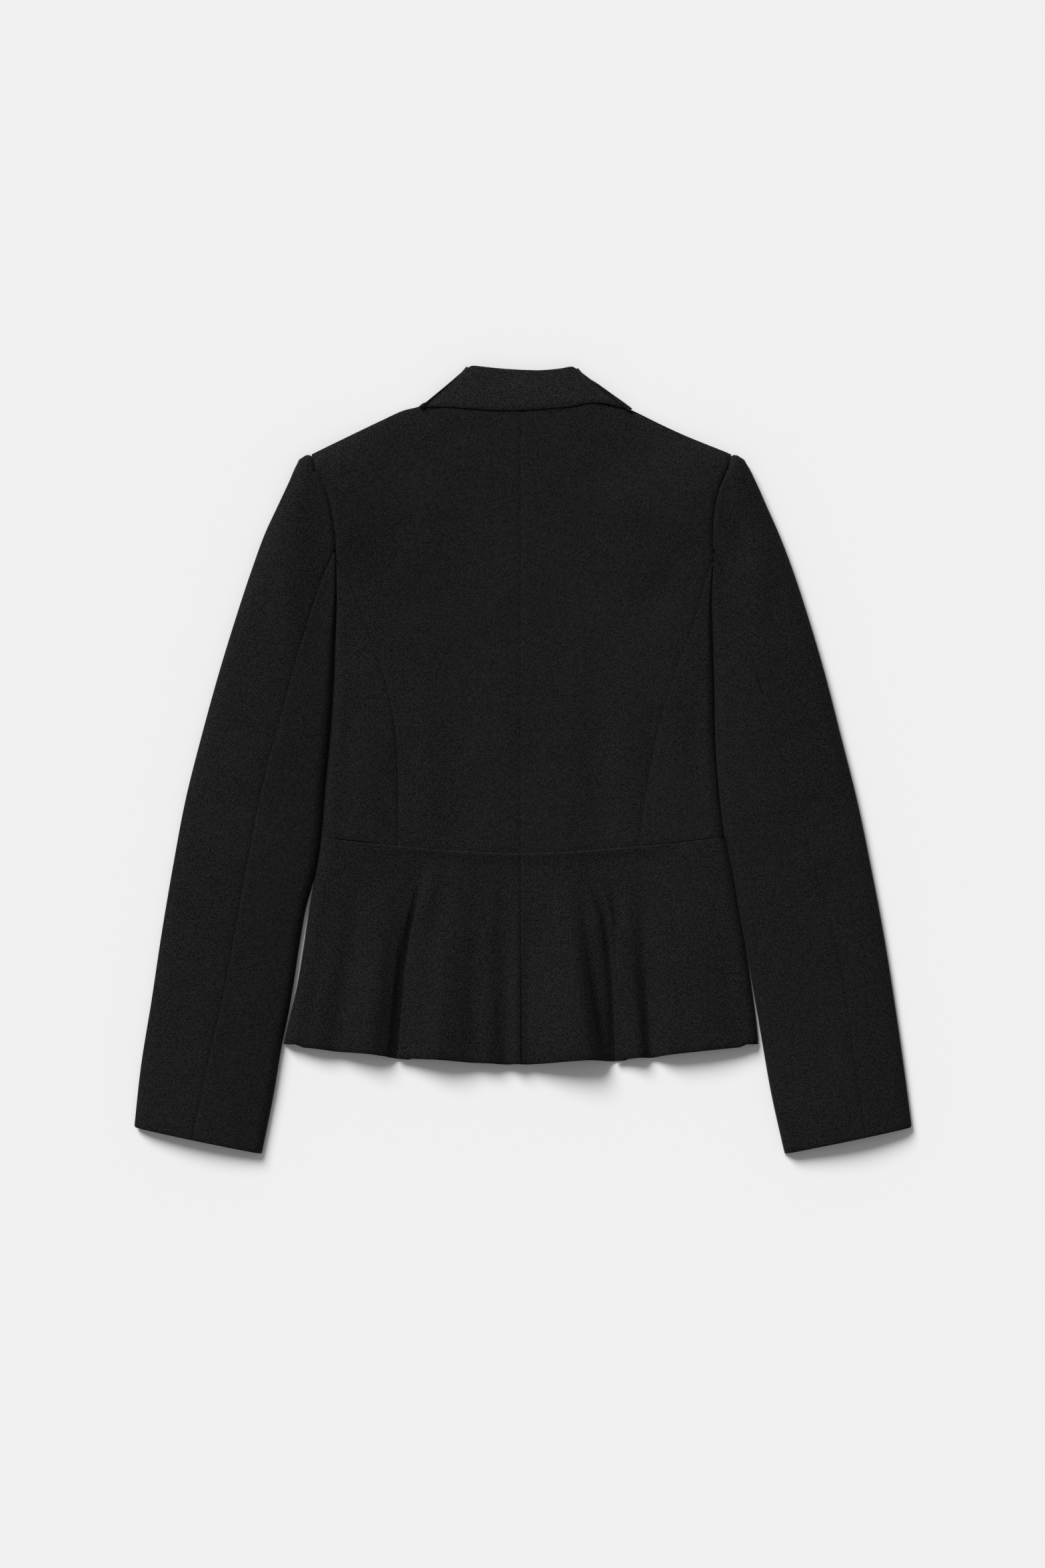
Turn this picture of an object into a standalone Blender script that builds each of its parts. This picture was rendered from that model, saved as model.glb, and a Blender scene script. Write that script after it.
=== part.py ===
"""Peplum jacket of black wool cloth, laid flat on its front, so that its back is up.

The collar points to +Y and the centre-back seam runs along Y. Each cut piece is an open surface, given the
cloth's thickness by Solidify. Sizes are in millimetres and become metres in cloth().
"""

import math

import bpy
from mathutils import Vector

MM = 0.001
WALL = 1.6  # thickness of the cloth with its fusing
SEAM = 0.3  # gap between two pieces at a seam
TURN_GAP = 0.5  # gap inside a turned edge
CENTRE = -2.0  # X of the centre-back and centre-front seams

LIFT = WALL + TURN_GAP  # what lies over a lapel or over the collar is this much higher
CENTRE_TOP = 7.1  # top of the back along its centre
NECK_MIDDLE = 4.6  # height of the collar's side folds
SIDE_RISE = 3.4  # the back is this much higher near its sides
PAD_RISE = 6.0  # the shoulder stands up over its fullness
EDGE_SHARE = 0.42  # height of a round side's outermost line, as a share of the height of its top
NECK_SEAM_Y = 316.0
NECK_SIDE = 75.0  # from the centre to where the neck ends and the shoulder starts
COLLAR_END = 43.9  # from the centre to where the collar's seam ends, at the lapels
TIP_Y = 270.6  # the shoulder's tip
TIP_HEIGHT = 6.4  # height of its outermost edge
CAP_ROUND = 15.0  # radius of the body's corner at the shoulder's tip
WAIST_CENTRE_Y = -83.4
WAIST_DIP = 14.6  # the waist seam is this much higher at the sides
WAIST_END_Y = WAIST_CENTRE_Y + 7.3  # where the princess seams reach the waist
WAIST_SIDE_X = 178.0
HEM_CENTRE_Y = -270.8
HEM_RISE = 19.0  # the hem is about this much higher at the sides
HEM_SIDE_Y = -251.0
HEM_FLARE = 1.17  # how much wider the peplum is at the hem than at the waist
ARMHOLE_FOOT_Y = 177.0
SIDE_TOP_Y = 172.5  # the side panel's upper end, just under the armhole
SLEEVE_FORK_Y = 183.0  # the under sleeve's upper end
CUFF_Y = -348.0  # the cuff's inner corner
CUFF_OUTER_Y = -324.5
SIDE_HEM_HEIGHT = 9.0  # height of the peplum's sides
BREAK_Y = -40.0  # where the lapels start to turn
GORGE_Y = 262.0  # where the lapels meet the collar
ROLL_TOP = 39.5  # from the centre to the roll line at the gorge
SIDE_SEAM_IN = 22.0  # the side seams lie this far in, underneath
FRONT_HEM_SHORT = 5.0  # the peplum's front ends this much above the back's hem
FRONT_SHOULDER_IN = 1.2  # the front's upper edge lies this much in from the shoulder's edge
LAPEL_BEND = 4.0  # the lapel's bend reaches this far behind its roll line

BACK_COLOUR = (0.012, 0.012, 0.013)
SIDE_COLOUR = (0.013, 0.013, 0.014)
FRONT_COLOUR = (0.011, 0.011, 0.012)
COLLAR_COLOUR = (0.014, 0.014, 0.015)
SLEEVE_COLOUR = (0.012, 0.012, 0.014)
UNDER_COLOUR = (0.011, 0.011, 0.013)
PEPLUM_COLOUR = (0.013, 0.013, 0.013)

# y, left, right: the body's half width from X = 0, where it meets the sleeves and below
BODY_EDGE = (
    (270.6, 187.0, 184.5),
    (257, 183.6, 180.5),
    (244, 176.7, 175.0),
    (234, 172.6, 171.8),
    (223, 169.8, 169.4),
    (208, 167.0, 168.0),
    (195, 165.4, 167.5),
    (177, 164.9, 167.9),
    (142, 164.4, 166.6),
    (103, 166.0, 168.0),
    (65, 167.6, 169.4),
    (20, 170.8, 170.2),
    (-25, 175.0, 173.4),
    (-69, 178.6, 178.8),
    (-97, 183.0, 184.2),
    (-130, 188.8, 189.6),
    (-165, 194.0, 196.0),
    (-200, 199.8, 202.2),
    (-225, 205.6, 205.8),
    (-251, 211.8, 208.6),
)
# y, left, right: the sleeves' inner edge
SLEEVE_INNER = (
    (-69, 179.4, 179.6),
    (-97, 184.0, 185.2),
    (-130, 191.6, 190.8),
    (-165, 197.8, 197.2),
    (-200, 203.2, 203.2),
    (-225, 207.6, 207.6),
    (-251, 213.0, 212.0),
    (-295, 220.4, 219.8),
    (-348, 231.0, 231.6),
)
# y, left, right: the sleeves' outer edge
SLEEVE_OUTER = (
    (270.6, 187.0, 184.5),
    (268.3, 194.0, 191.5),
    (260, 200.2, 198.6),
    (247, 206.0, 205.3),
    (224, 216.8, 215.6),
    (200, 228.0, 226.3),
    (171, 238.7, 237.5),
    (141, 248.8, 247.6),
    (82, 267.2, 265.4),
    (23, 283.6, 280.7),
    (-35, 298.2, 295.3),
    (-94, 309.4, 307.6),
    (-153, 319.4, 318.8),
    (-212, 328.3, 328.3),
    (-271, 337.8, 336.8),
    (-324.5, 343.7, 343.9),
)
# y, left, right: the elbow seam of the sleeves
ELBOW_SEAM = (
    (186, 165.2, 167.6),
    (161, 176.7, 178.5),
    (134, 186.1, 189.0),
    (90, 199.7, 202.3),
    (50, 210.4, 214.4),
    (0, 224.2, 229.6),
    (-30, 231.4, 239.6),
    (-87, 242.4, 255.9),
    (-153, 254.6, 274.0),
    (-193, 261.9, 282.6),
    (-235, 270.7, 289.1),
    (-277, 280.3, 295.0),
    (-338, 292.5, 303.6),
)
# y, left, right: the princess seams of the back
PRINCESS_SEAM = (
    (177, 164.9, 167.9),
    (165, 157.6, 163.6),
    (153, 150.9, 159.6),
    (126, 141.0, 152.6),
    (98, 131.4, 142.4),
    (67, 120.8, 131.0),
    (34, 113.6, 121.4),
    (-2, 110.8, 113.2),
    (-33, 110.2, 108.0),
    (-76.1, 110.6, 102.3),
)
# distance from the centre, y left, y right: the shoulders' edge
SHOULDER = (
    (75, 317.5, 318.0),
    (92, 312.0, 312.0),
    (104, 309.0, 306.8),
    (124, 300.2, 297.2),
    (147, 289.2, 286.6),
    (173, 276.6, 276.0),
    (186, 270.3, 270.8),
)
# turn in degrees, then neck, roll and edge as distance from the centre and y, at the left and at the right
COLLAR = (
    (90, (0, 316.0), (0, 344.6), (0, 308.8), (0, 316.0), (0, 344.6), (0, 308.8)),
    (90, (20, 316.2), (16, 345.6), (22, 308.9), (20, 316.3), (17, 344.2), (22, 310.2)),
    (90, (40, 316.8), (32, 347.2), (44, 310.2), (40, 317.1), (34, 345.6), (43, 312.0)),
    (90, (58, 317.4), (42, 348.2), (66, 312.0), (58, 317.8), (45, 347.4), (68, 315.6)),
    (90, (71, 317.8), (46.6, 346.6), (87.2, 311.6), (72, 318.2), (49.4, 345.4), (95.6, 310.0)),
    (60, (71.4, 318.2), (46.6, 346.6), (87.2, 311.6), (72.4, 318.6), (49.4, 345.4), (96.0, 309.4)),
    (30, (71.6, 318.2), (46.6, 346.6), (87.2, 311.5), (72.6, 318.6), (49.4, 345.4), (96.2, 309.0)),
    (0, (71.6, 318.0), (46.6, 346.6), (87.2, 311.4), (72.6, 318.4), (49.4, 345.4), (96.2, 308.6)),
    (-30, (71.6, 317.6), (46.6, 346.6), (87.2, 311.2), (72.6, 318.0), (49.4, 345.4), (96.2, 308.2)),
    (-60, (71.4, 317.2), (46.6, 346.6), (87.2, 311.0), (72.4, 317.6), (49.4, 345.4), (96.0, 307.8)),
    (-90, (71.0, 316.4), (46.4, 346.0), (87.4, 310.6), (72.0, 316.8), (49.2, 344.8), (95.8, 307.2)),
    (-90, (66.0, 305.0), (45.4, 334.0), (89.2, 302.0), (66.6, 305.0), (47.4, 334.0), (94.6, 300.0)),
    (-90, (58.0, 290.0), (43.4, 308.0), (90.0, 290.0), (58.4, 290.0), (44.6, 308.0), (92.8, 289.0)),
    (-90, (50.0, 276.0), (41.2, 284.0), (89.0, 279.0), (50.2, 276.0), (41.8, 284.0), (90.0, 278.4)),
    (-90, (43.9, 264.2), (39.8, 264.4), (87.0, 270.0), (43.9, 264.2), (39.8, 264.4), (87.4, 270.0)),
)
# y on the roll line, then the lapel's outer edge as distance from the centre and y
LAPEL = (
    (-34, 7.5, -33.0),
    (-10, 20.0, -4.0),
    (30, 36.0, 40.0),
    (75, 52.0, 88.0),
    (120, 66.0, 133.0),
    (165, 79.0, 176.0),
    (210, 90.0, 214.0),
    (261.6, 98.0, 238.0),
)
# place at the waist and at the hem (distance from the centre, to the left negative), height at the hem,
# and where the wave starts, from 0 at the waist to 1 at the hem: troughs and ridges of the peplum
WAVES_LEFT = (
    (-165, -196, 9.4, 0.0),
    (-150, -180, 10.6, 0.0),
    (-134, -160, 7.4, 0.1),
    (-118, -137, 10.0, 0.1),
    (-104, -119, 5.0, 0.05),
    "lap",
    (-82, -88, 13.4, 0.0),
    (-70, -76, 13.8, 0.0),
    (-54, -58, 12.4, 0.0),
    (-39, -41, 9.0, 0.3),
    (-26, -28, 12.0, 0.2),
    (-14, -11.4, 8.6, 0.4),
    (-4, -4, 11.0, 0.0),
    (0, 0, 11.0, 0.0),
)
WAVES_RIGHT = (
    (0, 0, 11.0, 0.0),
    (4, 4, 11.0, 0.0),
    (11, 12, 8.8, 0.4),
    (24, 26, 12.8, 0.0),
    (38, 44, 13.4, 0.0),
    (48, 58, 10.0, 0.0),
    (57, 70, 4.4, 0.0),
    "lap",
    (80, 97, 12.8, 0.0),
    (92, 104, 13.2, 0.0),
    (101, 113.6, 8.0, 0.1),
    (113, 126, 12.4, 0.0),
    (130, 150, 13.4, 0.0),
    (150, 176, 11.8, 0.0),
    (165, 194, 9.6, 0.0),
)
# edge at the waist and at the hem, overlap at the hem, height of the under layer, where the overlap starts
LAP_LEFT = (-96.0, -109.4, 9.4, 4.3, 0.2)
LAP_RIGHT = (66.0, 84.0, 7.6, 4.1, 0.12)

BAND_TURNS = (0, 25, 50, 70, 90)  # steps of a quarter turn, in degrees
ARMHOLE_ROWS = (243, 230, 217, 203, 190)
BODY_ROWS = (157, 137, 115, 92, 68, 42, 14, -14, -38, -58)
SLEEVE_ROWS = (182.5, 168, 150, 128, 104, 78, 50, 22, -8, -40, -72, -106, -142, -180, -220, -262, -305)
PEPLUM_ROWS = 10
SHOULDER_PLACES = (NECK_SIDE, 90, 106, 122, 138, 154, 170)
NECK_PLACES = (0, 19, 38, 56)


def side_column(side):
    """Column of a table with y, left and right."""
    return 1 if side < 0 else 2


def lookup(table, at, column):
    """A smooth curve through a table's column, against its first column."""
    rows = table if table[0][0] < table[-1][0] else table[::-1]
    last = len(rows) - 2
    i = 0
    while i < last and at > rows[i + 1][0]:
        i += 1

    def slope(a, b):
        return (rows[b][column] - rows[a][column]) / (rows[b][0] - rows[a][0])

    span = rows[i + 1][0] - rows[i][0]
    chord = slope(i, i + 1)
    start = (slope(i - 1, i) + chord) / 2 if i > 0 else chord
    end = (chord + slope(i + 1, i + 2)) / 2 if i < last else chord
    t = (at - rows[i][0]) / span
    value = rows[i][column] * (2 * t**3 - 3 * t**2 + 1) + rows[i + 1][column] * (3 * t**2 - 2 * t**3)
    return value + span * (start * (t**3 - 2 * t**2 + t) + end * (t**3 - t**2))


def ease(x):
    """From 0 to 1, with soft ends."""
    x = min(max(x, 0.0), 1.0)
    return x * x * (3 - 2 * x)


def mix(a, b, t):
    return a + (b - a) * t


def rounded(distance, width):
    """Height, from 0 to 1, of a quarter round at a distance from its edge."""
    x = min(max(distance / width, 0.0), 1.0)
    return math.sqrt(1 - (1 - x) ** 2)


def waist_y(x):
    return WAIST_CENTRE_Y + WAIST_DIP * min(abs(x - CENTRE) / 177.0, 1.0) ** 1.6


def hem_y(x):
    return HEM_CENTRE_Y + HEM_RISE * min(abs(x - CENTRE) / 210.0, 1.0) ** 2.4


def shoulder_y(side, away):
    return lookup(SHOULDER, away, side_column(side))


def shoulder_inside(side, x, y):
    """Distance of a point from the shoulder's edge. It grows inside the neck, whose seam isn't rounded."""
    away = abs(x - CENTRE)
    from_edge = max(shoulder_y(side, max(away, NECK_SIDE)) - y, 0.0)
    return from_edge * 0.9 + 1.2 * max(NECK_SIDE - away, 0.0)


def shoulder_round(away):
    """Width of the shoulder's rounded edge."""
    return mix(4.0, 15.0, ease((away - 92) / 60))


def lifted(away, y):
    """How much of LIFT the front has: 1 over the collar and over the lapel, 0 outside them."""
    if y > GORGE_Y:
        edge = 86.0
    elif y > 238:
        edge = mix(98.0, 88.0, (y - 238) / 24)
    else:
        edge = lapel_edge(y)
    return (1 - ease((away - edge - 13) / 18)) * ease((y + 68) / 20)


def lapel_edge(y):
    """Distance of the lapel's outer edge from the centre."""
    rows = [(row[2], row[1]) for row in LAPEL]
    return lookup(rows, max(y, LAPEL[0][2]), 1)


def shoulder_middle(away):
    """Height of the shoulder's outermost edge."""
    return mix(NECK_MIDDLE, TIP_HEIGHT, ease((away - 92) / 60))


def top_height(side, x, y):
    """Height of the back's upper face."""
    away = abs(x - CENTRE)
    width = lookup(BODY_EDGE, min(y, TIP_Y), side_column(side))
    height = CENTRE_TOP + SIDE_RISE * ease((away / width - 0.35) / 0.55) * ease((292 - y) / 60)
    height += PAD_RISE * ease((away - 96) / 66) * ease((y - 150) / 100)
    middle = shoulder_middle(away)
    return middle + (height - middle) * rounded(shoulder_inside(side, x, y), shoulder_round(away))


def low_height(side, x, y):
    """Height of the front's lower face."""
    away = abs(x - CENTRE)
    low = LIFT * lifted(away, y)
    middle = shoulder_middle(away)
    width = mix(4.0, 9.0, ease((away - 92) / 60))
    return middle - (middle - low) * rounded(shoulder_inside(side, x, y), width)


def edge_round(y):
    """Width of the upper round at the body's side, which starts at the armhole's foot."""
    return mix(1.4, 8.0, ease((ARMHOLE_FOOT_Y - y) / 40))


def cloth(name, rows, colour, check=(0, 0), faces_up=True, even=True):
    """A piece of cloth: a grid of points on its outer face, thickened inwards by Solidify.

    The face at check shows which way the outer face looks.
    """
    across = len(rows[0])
    points = [point * MM for row in rows for point in row]
    faces = []
    for r in range(len(rows) - 1):
        for c in range(across - 1):
            first = r * across + c
            faces.append((first, first + 1, first + across + 1, first + across))
    a, b, _, d = (points[i] for i in faces[check[0] * (across - 1) + check[1]])
    if ((b - a).cross(d - a).z > 0) != faces_up:
        faces = [face[::-1] for face in faces]
    mesh = bpy.data.meshes.new(name)
    mesh.from_pydata([tuple(point) for point in points], [], faces)
    mesh.shade_smooth()
    piece = bpy.data.objects.new(name, mesh)
    parts.objects.link(piece)
    wall = piece.modifiers.new("Cloth thickness", "SOLIDIFY")
    wall.thickness = WALL * MM
    wall.offset = -1
    wall.use_even_offset = even
    finish = bpy.data.materials.new(name + "_wool")
    finish.use_nodes = True
    surface = finish.node_tree.nodes["Principled BSDF"]
    surface.inputs["Base Color"].default_value = (*colour, 1)
    surface.inputs["Roughness"].default_value = 0.9
    surface.inputs["Metallic"].default_value = 0
    mesh.materials.append(finish)
    return piece


def blended(top, bottom, inner, outer, s, t):
    """Point of a patch between four edges, given as functions of s or t."""
    across = top(s) * (1 - t) + bottom(s) * t
    down = inner(t) * (1 - s) + outer(t) * s
    corners = (top(0) * (1 - s) + top(1) * s) * (1 - t) + (bottom(0) * (1 - s) + bottom(1) * s) * t
    return across + down - corners


def plan(x, y):
    return Vector((x, y))


def outer_rows():
    """Y of each row on the body's outer edge: the shoulder's round, the armhole, then down to the waist."""
    band = [TIP_Y - CAP_ROUND * (1 - math.cos(math.radians(turn))) for turn in BAND_TURNS]
    return band + list(ARMHOLE_ROWS) + [ARMHOLE_FOOT_Y] + list(BODY_ROWS) + [WAIST_END_Y]


def share(value, start, end):
    return (value - start) / (end - start)


def back(side, name):
    """Back from the centre seam to the armhole and princess seam, and from the shoulder to the waist."""
    column = side_column(side)
    tip_away = lookup(BODY_EDGE, TIP_Y, column) + side * -CENTRE
    places = NECK_PLACES + SHOULDER_PLACES + (tip_away,)
    rows_y = outer_rows()
    end_y = rows_y[-1]
    inset = SEAM / 2

    def top(s):
        away = mix(inset, tip_away, s)
        if away <= NECK_SIDE:
            neck = mix(NECK_SEAM_Y, shoulder_y(side, NECK_SIDE), ease(away / NECK_SIDE)) - inset
            return plan(CENTRE + side * away, neck)
        return plan(CENTRE + side * away, shoulder_y(side, away))

    def bottom(s):
        x = CENTRE + side * mix(inset, abs(outer(1).x - CENTRE), s)
        return plan(x, waist_y(x) + inset)

    def inner(t):
        return plan(CENTRE + side * inset, mix(NECK_SEAM_Y - inset, WAIST_CENTRE_Y + inset, t))

    def outer(t):
        y = mix(TIP_Y, end_y, t)
        table = BODY_EDGE if y >= ARMHOLE_FOOT_Y - 0.001 else PRINCESS_SEAM
        return plan(side * (lookup(table, y, column) - inset), y)

    grid = []
    for y in rows_y:
        t = share(y, TIP_Y, end_y)
        row = []
        for away in places:
            s = share(away, places[0], tip_away)
            spot = blended(top, bottom, inner, outer, s, t)
            row.append(Vector((spot.x, spot.y, top_height(side, spot.x, spot.y))))
        grid.append(row)
    return cloth(name, grid, BACK_COLOUR, check=(12, 3))


def side_contour(side, x_top, y_top, x_edge, y_edge, x_under, y_under, height, width, inner_steps):
    """Row of points from a seam on top, round the body's side, to a seam underneath."""
    middle = EDGE_SHARE * height(0)
    row = []
    arc_x = x_edge - side * width
    for i in range(inner_steps):
        t = i / inner_steps
        row.append(Vector((mix(x_top, arc_x, t), mix(y_top, y_edge, t), height(1 - t))))
    for turn in (90, 65, 40, 15):
        angle = math.radians(turn)
        x = arc_x + side * width * math.cos(angle)
        row.append(Vector((x, y_edge, middle + (height(0) - middle) * math.sin(angle))))
    low = min(4.0, width)
    for turn in (0, 30, 60, 90):
        angle = math.radians(turn)
        x = x_edge - side * low * (1 - math.cos(angle))
        row.append(Vector((x, y_edge, middle * (1 - math.sin(angle)))))
    start = x_edge - side * low
    for t in (0.5, 1.0):
        row.append(Vector((mix(start, x_under, t), mix(y_edge, y_under, t), 0.0)))
    return row


def side_seam(side, y):
    """Point of the side seam underneath."""
    edge = lookup(BODY_EDGE, y, side_column(side))
    return plan(side * (edge - mix(2.6, SIDE_SEAM_IN, ease((ARMHOLE_FOOT_Y - y) / 60))), y)


def side_panel(side, name):
    """Side of the body, from the princess seam round the side to the side seam underneath."""
    column = side_column(side)
    inset = SEAM / 2
    grid = []
    low_y = waist_y(WAIST_SIDE_X) + inset
    for y in (SIDE_TOP_Y,) + BODY_ROWS + (WAIST_END_Y,):
        y_edge = y if y > -38 else mix(-38, low_y, share(y, -38, WAIST_END_Y))
        x_top = side * (lookup(PRINCESS_SEAM, y, column) + inset)
        x_edge = side * (lookup(BODY_EDGE, y_edge, column) - inset)
        under = side_seam(side, y_edge)

        def height(t):
            return top_height(side, mix(x_edge, x_top, t), mix(y_edge, y, t))

        width = min(edge_round(y_edge), 0.5 * abs(x_edge - x_top))
        x_under = under.x + side * inset
        grid.append(side_contour(side, x_top, y, x_edge, y_edge, x_under, under.y, height, width, 4))
    return cloth(name, grid, SIDE_COLOUR)


def front(side, name):
    """Front underneath: from the shoulder, armhole and side seam to the neck, roll line and centre."""
    column = side_column(side)
    inset = SEAM / 2
    tip_away = lookup(BODY_EDGE, TIP_Y, column) + side * -CENTRE
    places = SHOULDER_PLACES + (tip_away,)
    rows_y = [y for y in outer_rows() if y > ARMHOLE_FOOT_Y] + [SIDE_TOP_Y] + list(BODY_ROWS)
    end_y = waist_y(WAIST_SIDE_X) + inset
    rows_y.append(end_y)

    def top(s):
        away = mix(NECK_SIDE, tip_away, s)
        return plan(CENTRE + side * away, shoulder_y(side, away) - FRONT_SHOULDER_IN)

    def bottom(s):
        x = CENTRE + side * mix(inset, abs(outer(1).x - CENTRE), s)
        return plan(x, waist_y(x) + inset)

    def inner(t):
        y = mix(shoulder_y(side, NECK_SIDE) - FRONT_SHOULDER_IN, WAIST_CENTRE_Y + inset, t)
        if y > GORGE_Y:
            to_neck = share(y, GORGE_Y, shoulder_y(side, NECK_SIDE))
            away = mix(COLLAR_END + SEAM, NECK_SIDE, to_neck)
        elif y > BREAK_Y:
            away = roll_away(y) + LAPEL_BEND + SEAM
        else:
            away = mix(inset, 7.2, ease((y + 62) / 12))
        return plan(CENTRE + side * away, y)

    def outer(t):
        y = mix(TIP_Y - 0.4, end_y, t)
        if y >= ARMHOLE_FOOT_Y:
            return plan(side * (lookup(BODY_EDGE, y, column) - inset), y)
        spot = side_seam(side, min(y, SIDE_TOP_Y))
        return plan(spot.x - side * inset, y)

    grid = []
    for y in rows_y:
        t = share(y, TIP_Y, end_y)
        row = []
        for away in places:
            s = share(away, NECK_SIDE, tip_away)
            spot = blended(top, bottom, inner, outer, s, t)
            row.append(Vector((spot.x, spot.y, low_height(side, spot.x, spot.y))))
        grid.append(row)
    return cloth(name, grid, FRONT_COLOUR, check=(12, 3), faces_up=False)


def roll_away(y):
    """Distance of the lapel's roll line from the centre."""
    return mix(2.6, ROLL_TOP, share(y, BREAK_Y, GORGE_Y))


def turned(turn, neck, roll, edge, stand_steps, fall_steps):
    """Section of a turned-over strip: the stand from the neck, round the roll, and the fall to its edge.

    Turn is 90 on top, -90 underneath and between them where the strip goes round the neck's side.
    """
    stand, fall = 0.9, 4.6
    angle = math.radians(turn)
    along = (roll - neck).normalized()
    out = Vector((-along.y, along.x)) if along.x > 0 else Vector((along.y, -along.x))
    out = Vector((out.x, out.y, 0)) * math.cos(angle) + Vector((0, 0, 1)) * math.sin(angle)
    radius = (fall - stand) / 2
    start = roll - along * radius

    def place(flat, away):
        return Vector((flat.x, flat.y, NECK_MIDDLE)) + out * away

    row = [place(neck.lerp(start, i / stand_steps), stand) for i in range(stand_steps)]
    for step in (0, 45, 90, 135, 180):
        a = math.radians(step)
        row.append(place(start + along * radius * math.sin(a), stand + radius * (1 - math.cos(a))))
    row += [place(start.lerp(edge, (i + 1) / fall_steps), fall) for i in range(fall_steps)]
    return row


def collar(name):
    """Collar from one front, round the neck, to the other, in one piece."""
    grid = []
    for side, columns in ((-1, (1, 2, 3)), (1, (4, 5, 6))):
        half = []
        for station in COLLAR:
            neck, roll, edge = (plan(CENTRE + side * station[i][0], station[i][1]) for i in columns)
            if station[0] == 90:
                neck = neck + plan(0, SEAM)
            half.append(turned(station[0], neck, roll, edge, 2, 3))
        grid += half[::-1] if side < 0 else half[1:]
    return cloth(name, grid, COLLAR_COLOUR, check=(len(COLLAR) - 1, 8))


def lapel(side, name):
    """Lapel: the front's edge turned out along the roll line, under the front."""
    grid = []
    for y, edge_away, edge_y in LAPEL:
        away = roll_away(y)
        neck = plan(CENTRE + side * (away + LAPEL_BEND), y)
        roll = plan(CENTRE + side * away, y)
        edge = plan(CENTRE + side * edge_away, edge_y)
        row = []
        radius = (LIFT + WALL) / 2
        row.append(Vector((neck.x, neck.y, 2 * radius)))
        for step in (0, 45, 90, 135, 180):
            a = math.radians(step)
            x = roll.x + side * radius * (1 - math.sin(a))
            row.append(Vector((x, roll.y, radius * (1 + math.cos(a)))))
        start = plan(roll.x + side * radius, y)
        row += [Vector((*start.lerp(edge, t), 0.0)) for t in (0.33, 0.67, 1.0)]
        grid.append(row)
    return cloth(name, grid, COLLAR_COLOUR, check=(4, 7), faces_up=False)


def sleeve_rows():
    """Y of each sleeve row at its inner end and at its outer end."""
    inner = (TIP_Y - CAP_ROUND,) + ARMHOLE_ROWS + SLEEVE_ROWS + (CUFF_Y,)
    return [(y, mix(CUFF_OUTER_Y, TIP_Y, share(y, CUFF_Y, TIP_Y - CAP_ROUND))) for y in inner]


def sleeve_section(side, y_inner, y_outer):
    """What both sleeve pieces share in one row: its ends in plan, heights and where its seams are."""
    column = side_column(side)
    gap = SEAM / 2
    table = BODY_EDGE if y_inner > -69 else SLEEVE_INNER
    head_spare = 1.2 * ease((y_inner - 215) / 40)
    spare = gap + head_spare + (0.0 if y_inner > ARMHOLE_FOOT_Y else 0.1)
    inner = plan(side * (lookup(table, y_inner, column) + spare), y_inner)
    outer = plan(side * (lookup(SLEEVE_OUTER, y_outer, column) + head_spare), y_outer)
    length = (outer - inner).length
    beside_y = max(y_inner, 120)
    at_seam = top_height(side, side * (lookup(BODY_EDGE, beside_y, column) - 0.5), beside_y)
    crown = mix(13.5, 10.5, ease(share(y_inner, 150, CUFF_Y)))
    fraction = 0.0
    if y_inner < 186:
        for _ in range(12):
            spot = inner.lerp(outer, fraction)
            want = lookup(ELBOW_SEAM, spot.y, column)
            fraction += (want - abs(spot.x)) / abs(outer.x - inner.x)
    under = mix(0.0, 24.0, ease((188 - y_inner) / 60)) / length
    if y_inner < SLEEVE_FORK_Y:
        least = 2.2 / length
        fraction = max(fraction, least)
        under = max(under, least)
    outer_width = mix(15.0, 9.0, ease(share(y_inner, TIP_Y - CAP_ROUND, 60)))

    def height(f):
        """Upper face at a share of the way out, without its rounded edges."""
        crest = crown + 1.6 * math.sin(math.pi * min(max(f, 0), 1))
        near = 1 - ease(f * length / 45)
        return mix(crest, at_seam, near * ease((y_inner - 60) / 60))

    return inner, outer, length, height, fraction, under, outer_width


def top_sleeve(side, name):
    """Top sleeve: from the armhole or elbow seam, round the outer edge, to the forearm seam underneath."""
    grid = []
    for y_inner, y_outer in sleeve_rows():
        inner, outer, length, height, elbow, under, width = sleeve_section(side, y_inner, y_outer)
        gap = SEAM / 2 / length
        start = elbow + gap if elbow > 0.004 else 0.0
        edge = 1 - width / length
        to_arm = ease(share(y_inner, TIP_Y - CAP_ROUND, 150))
        middle = mix(TIP_HEIGHT, EDGE_SHARE * height(1), to_arm)
        row = []
        for i in range(5):
            f = mix(start, max(edge, 0.0), i / 5)
            spot = inner.lerp(outer, f)
            row.append(Vector((spot.x, spot.y, height(f))))
        for turn in (90, 65, 40, 20, 0):
            angle = math.radians(turn)
            f = max(edge, 0.0) + min(width / length, 1.0) * math.cos(angle)
            spot = inner.lerp(outer, f)
            top = height(f)
            row.append(Vector((spot.x, spot.y, middle + (top - middle) * math.sin(angle))))
        low = min(mix(9.0, 5.0, to_arm), length * 0.6) / length
        for turn in (25, 55, 90):
            angle = math.radians(turn)
            spot = inner.lerp(outer, 1 - low * (1 - math.cos(angle)))
            row.append(Vector((spot.x, spot.y, middle * (1 - math.sin(angle)))))
        end = under + gap if under > 0 else 0.0
        for t in (0.33, 0.67, 1.0):
            spot = inner.lerp(outer, mix(1 - low, end, t))
            row.append(Vector((spot.x, spot.y, 0.0)))
        grid.append(row)
    return cloth(name, grid, SLEEVE_COLOUR, check=(10, 0))


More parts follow.
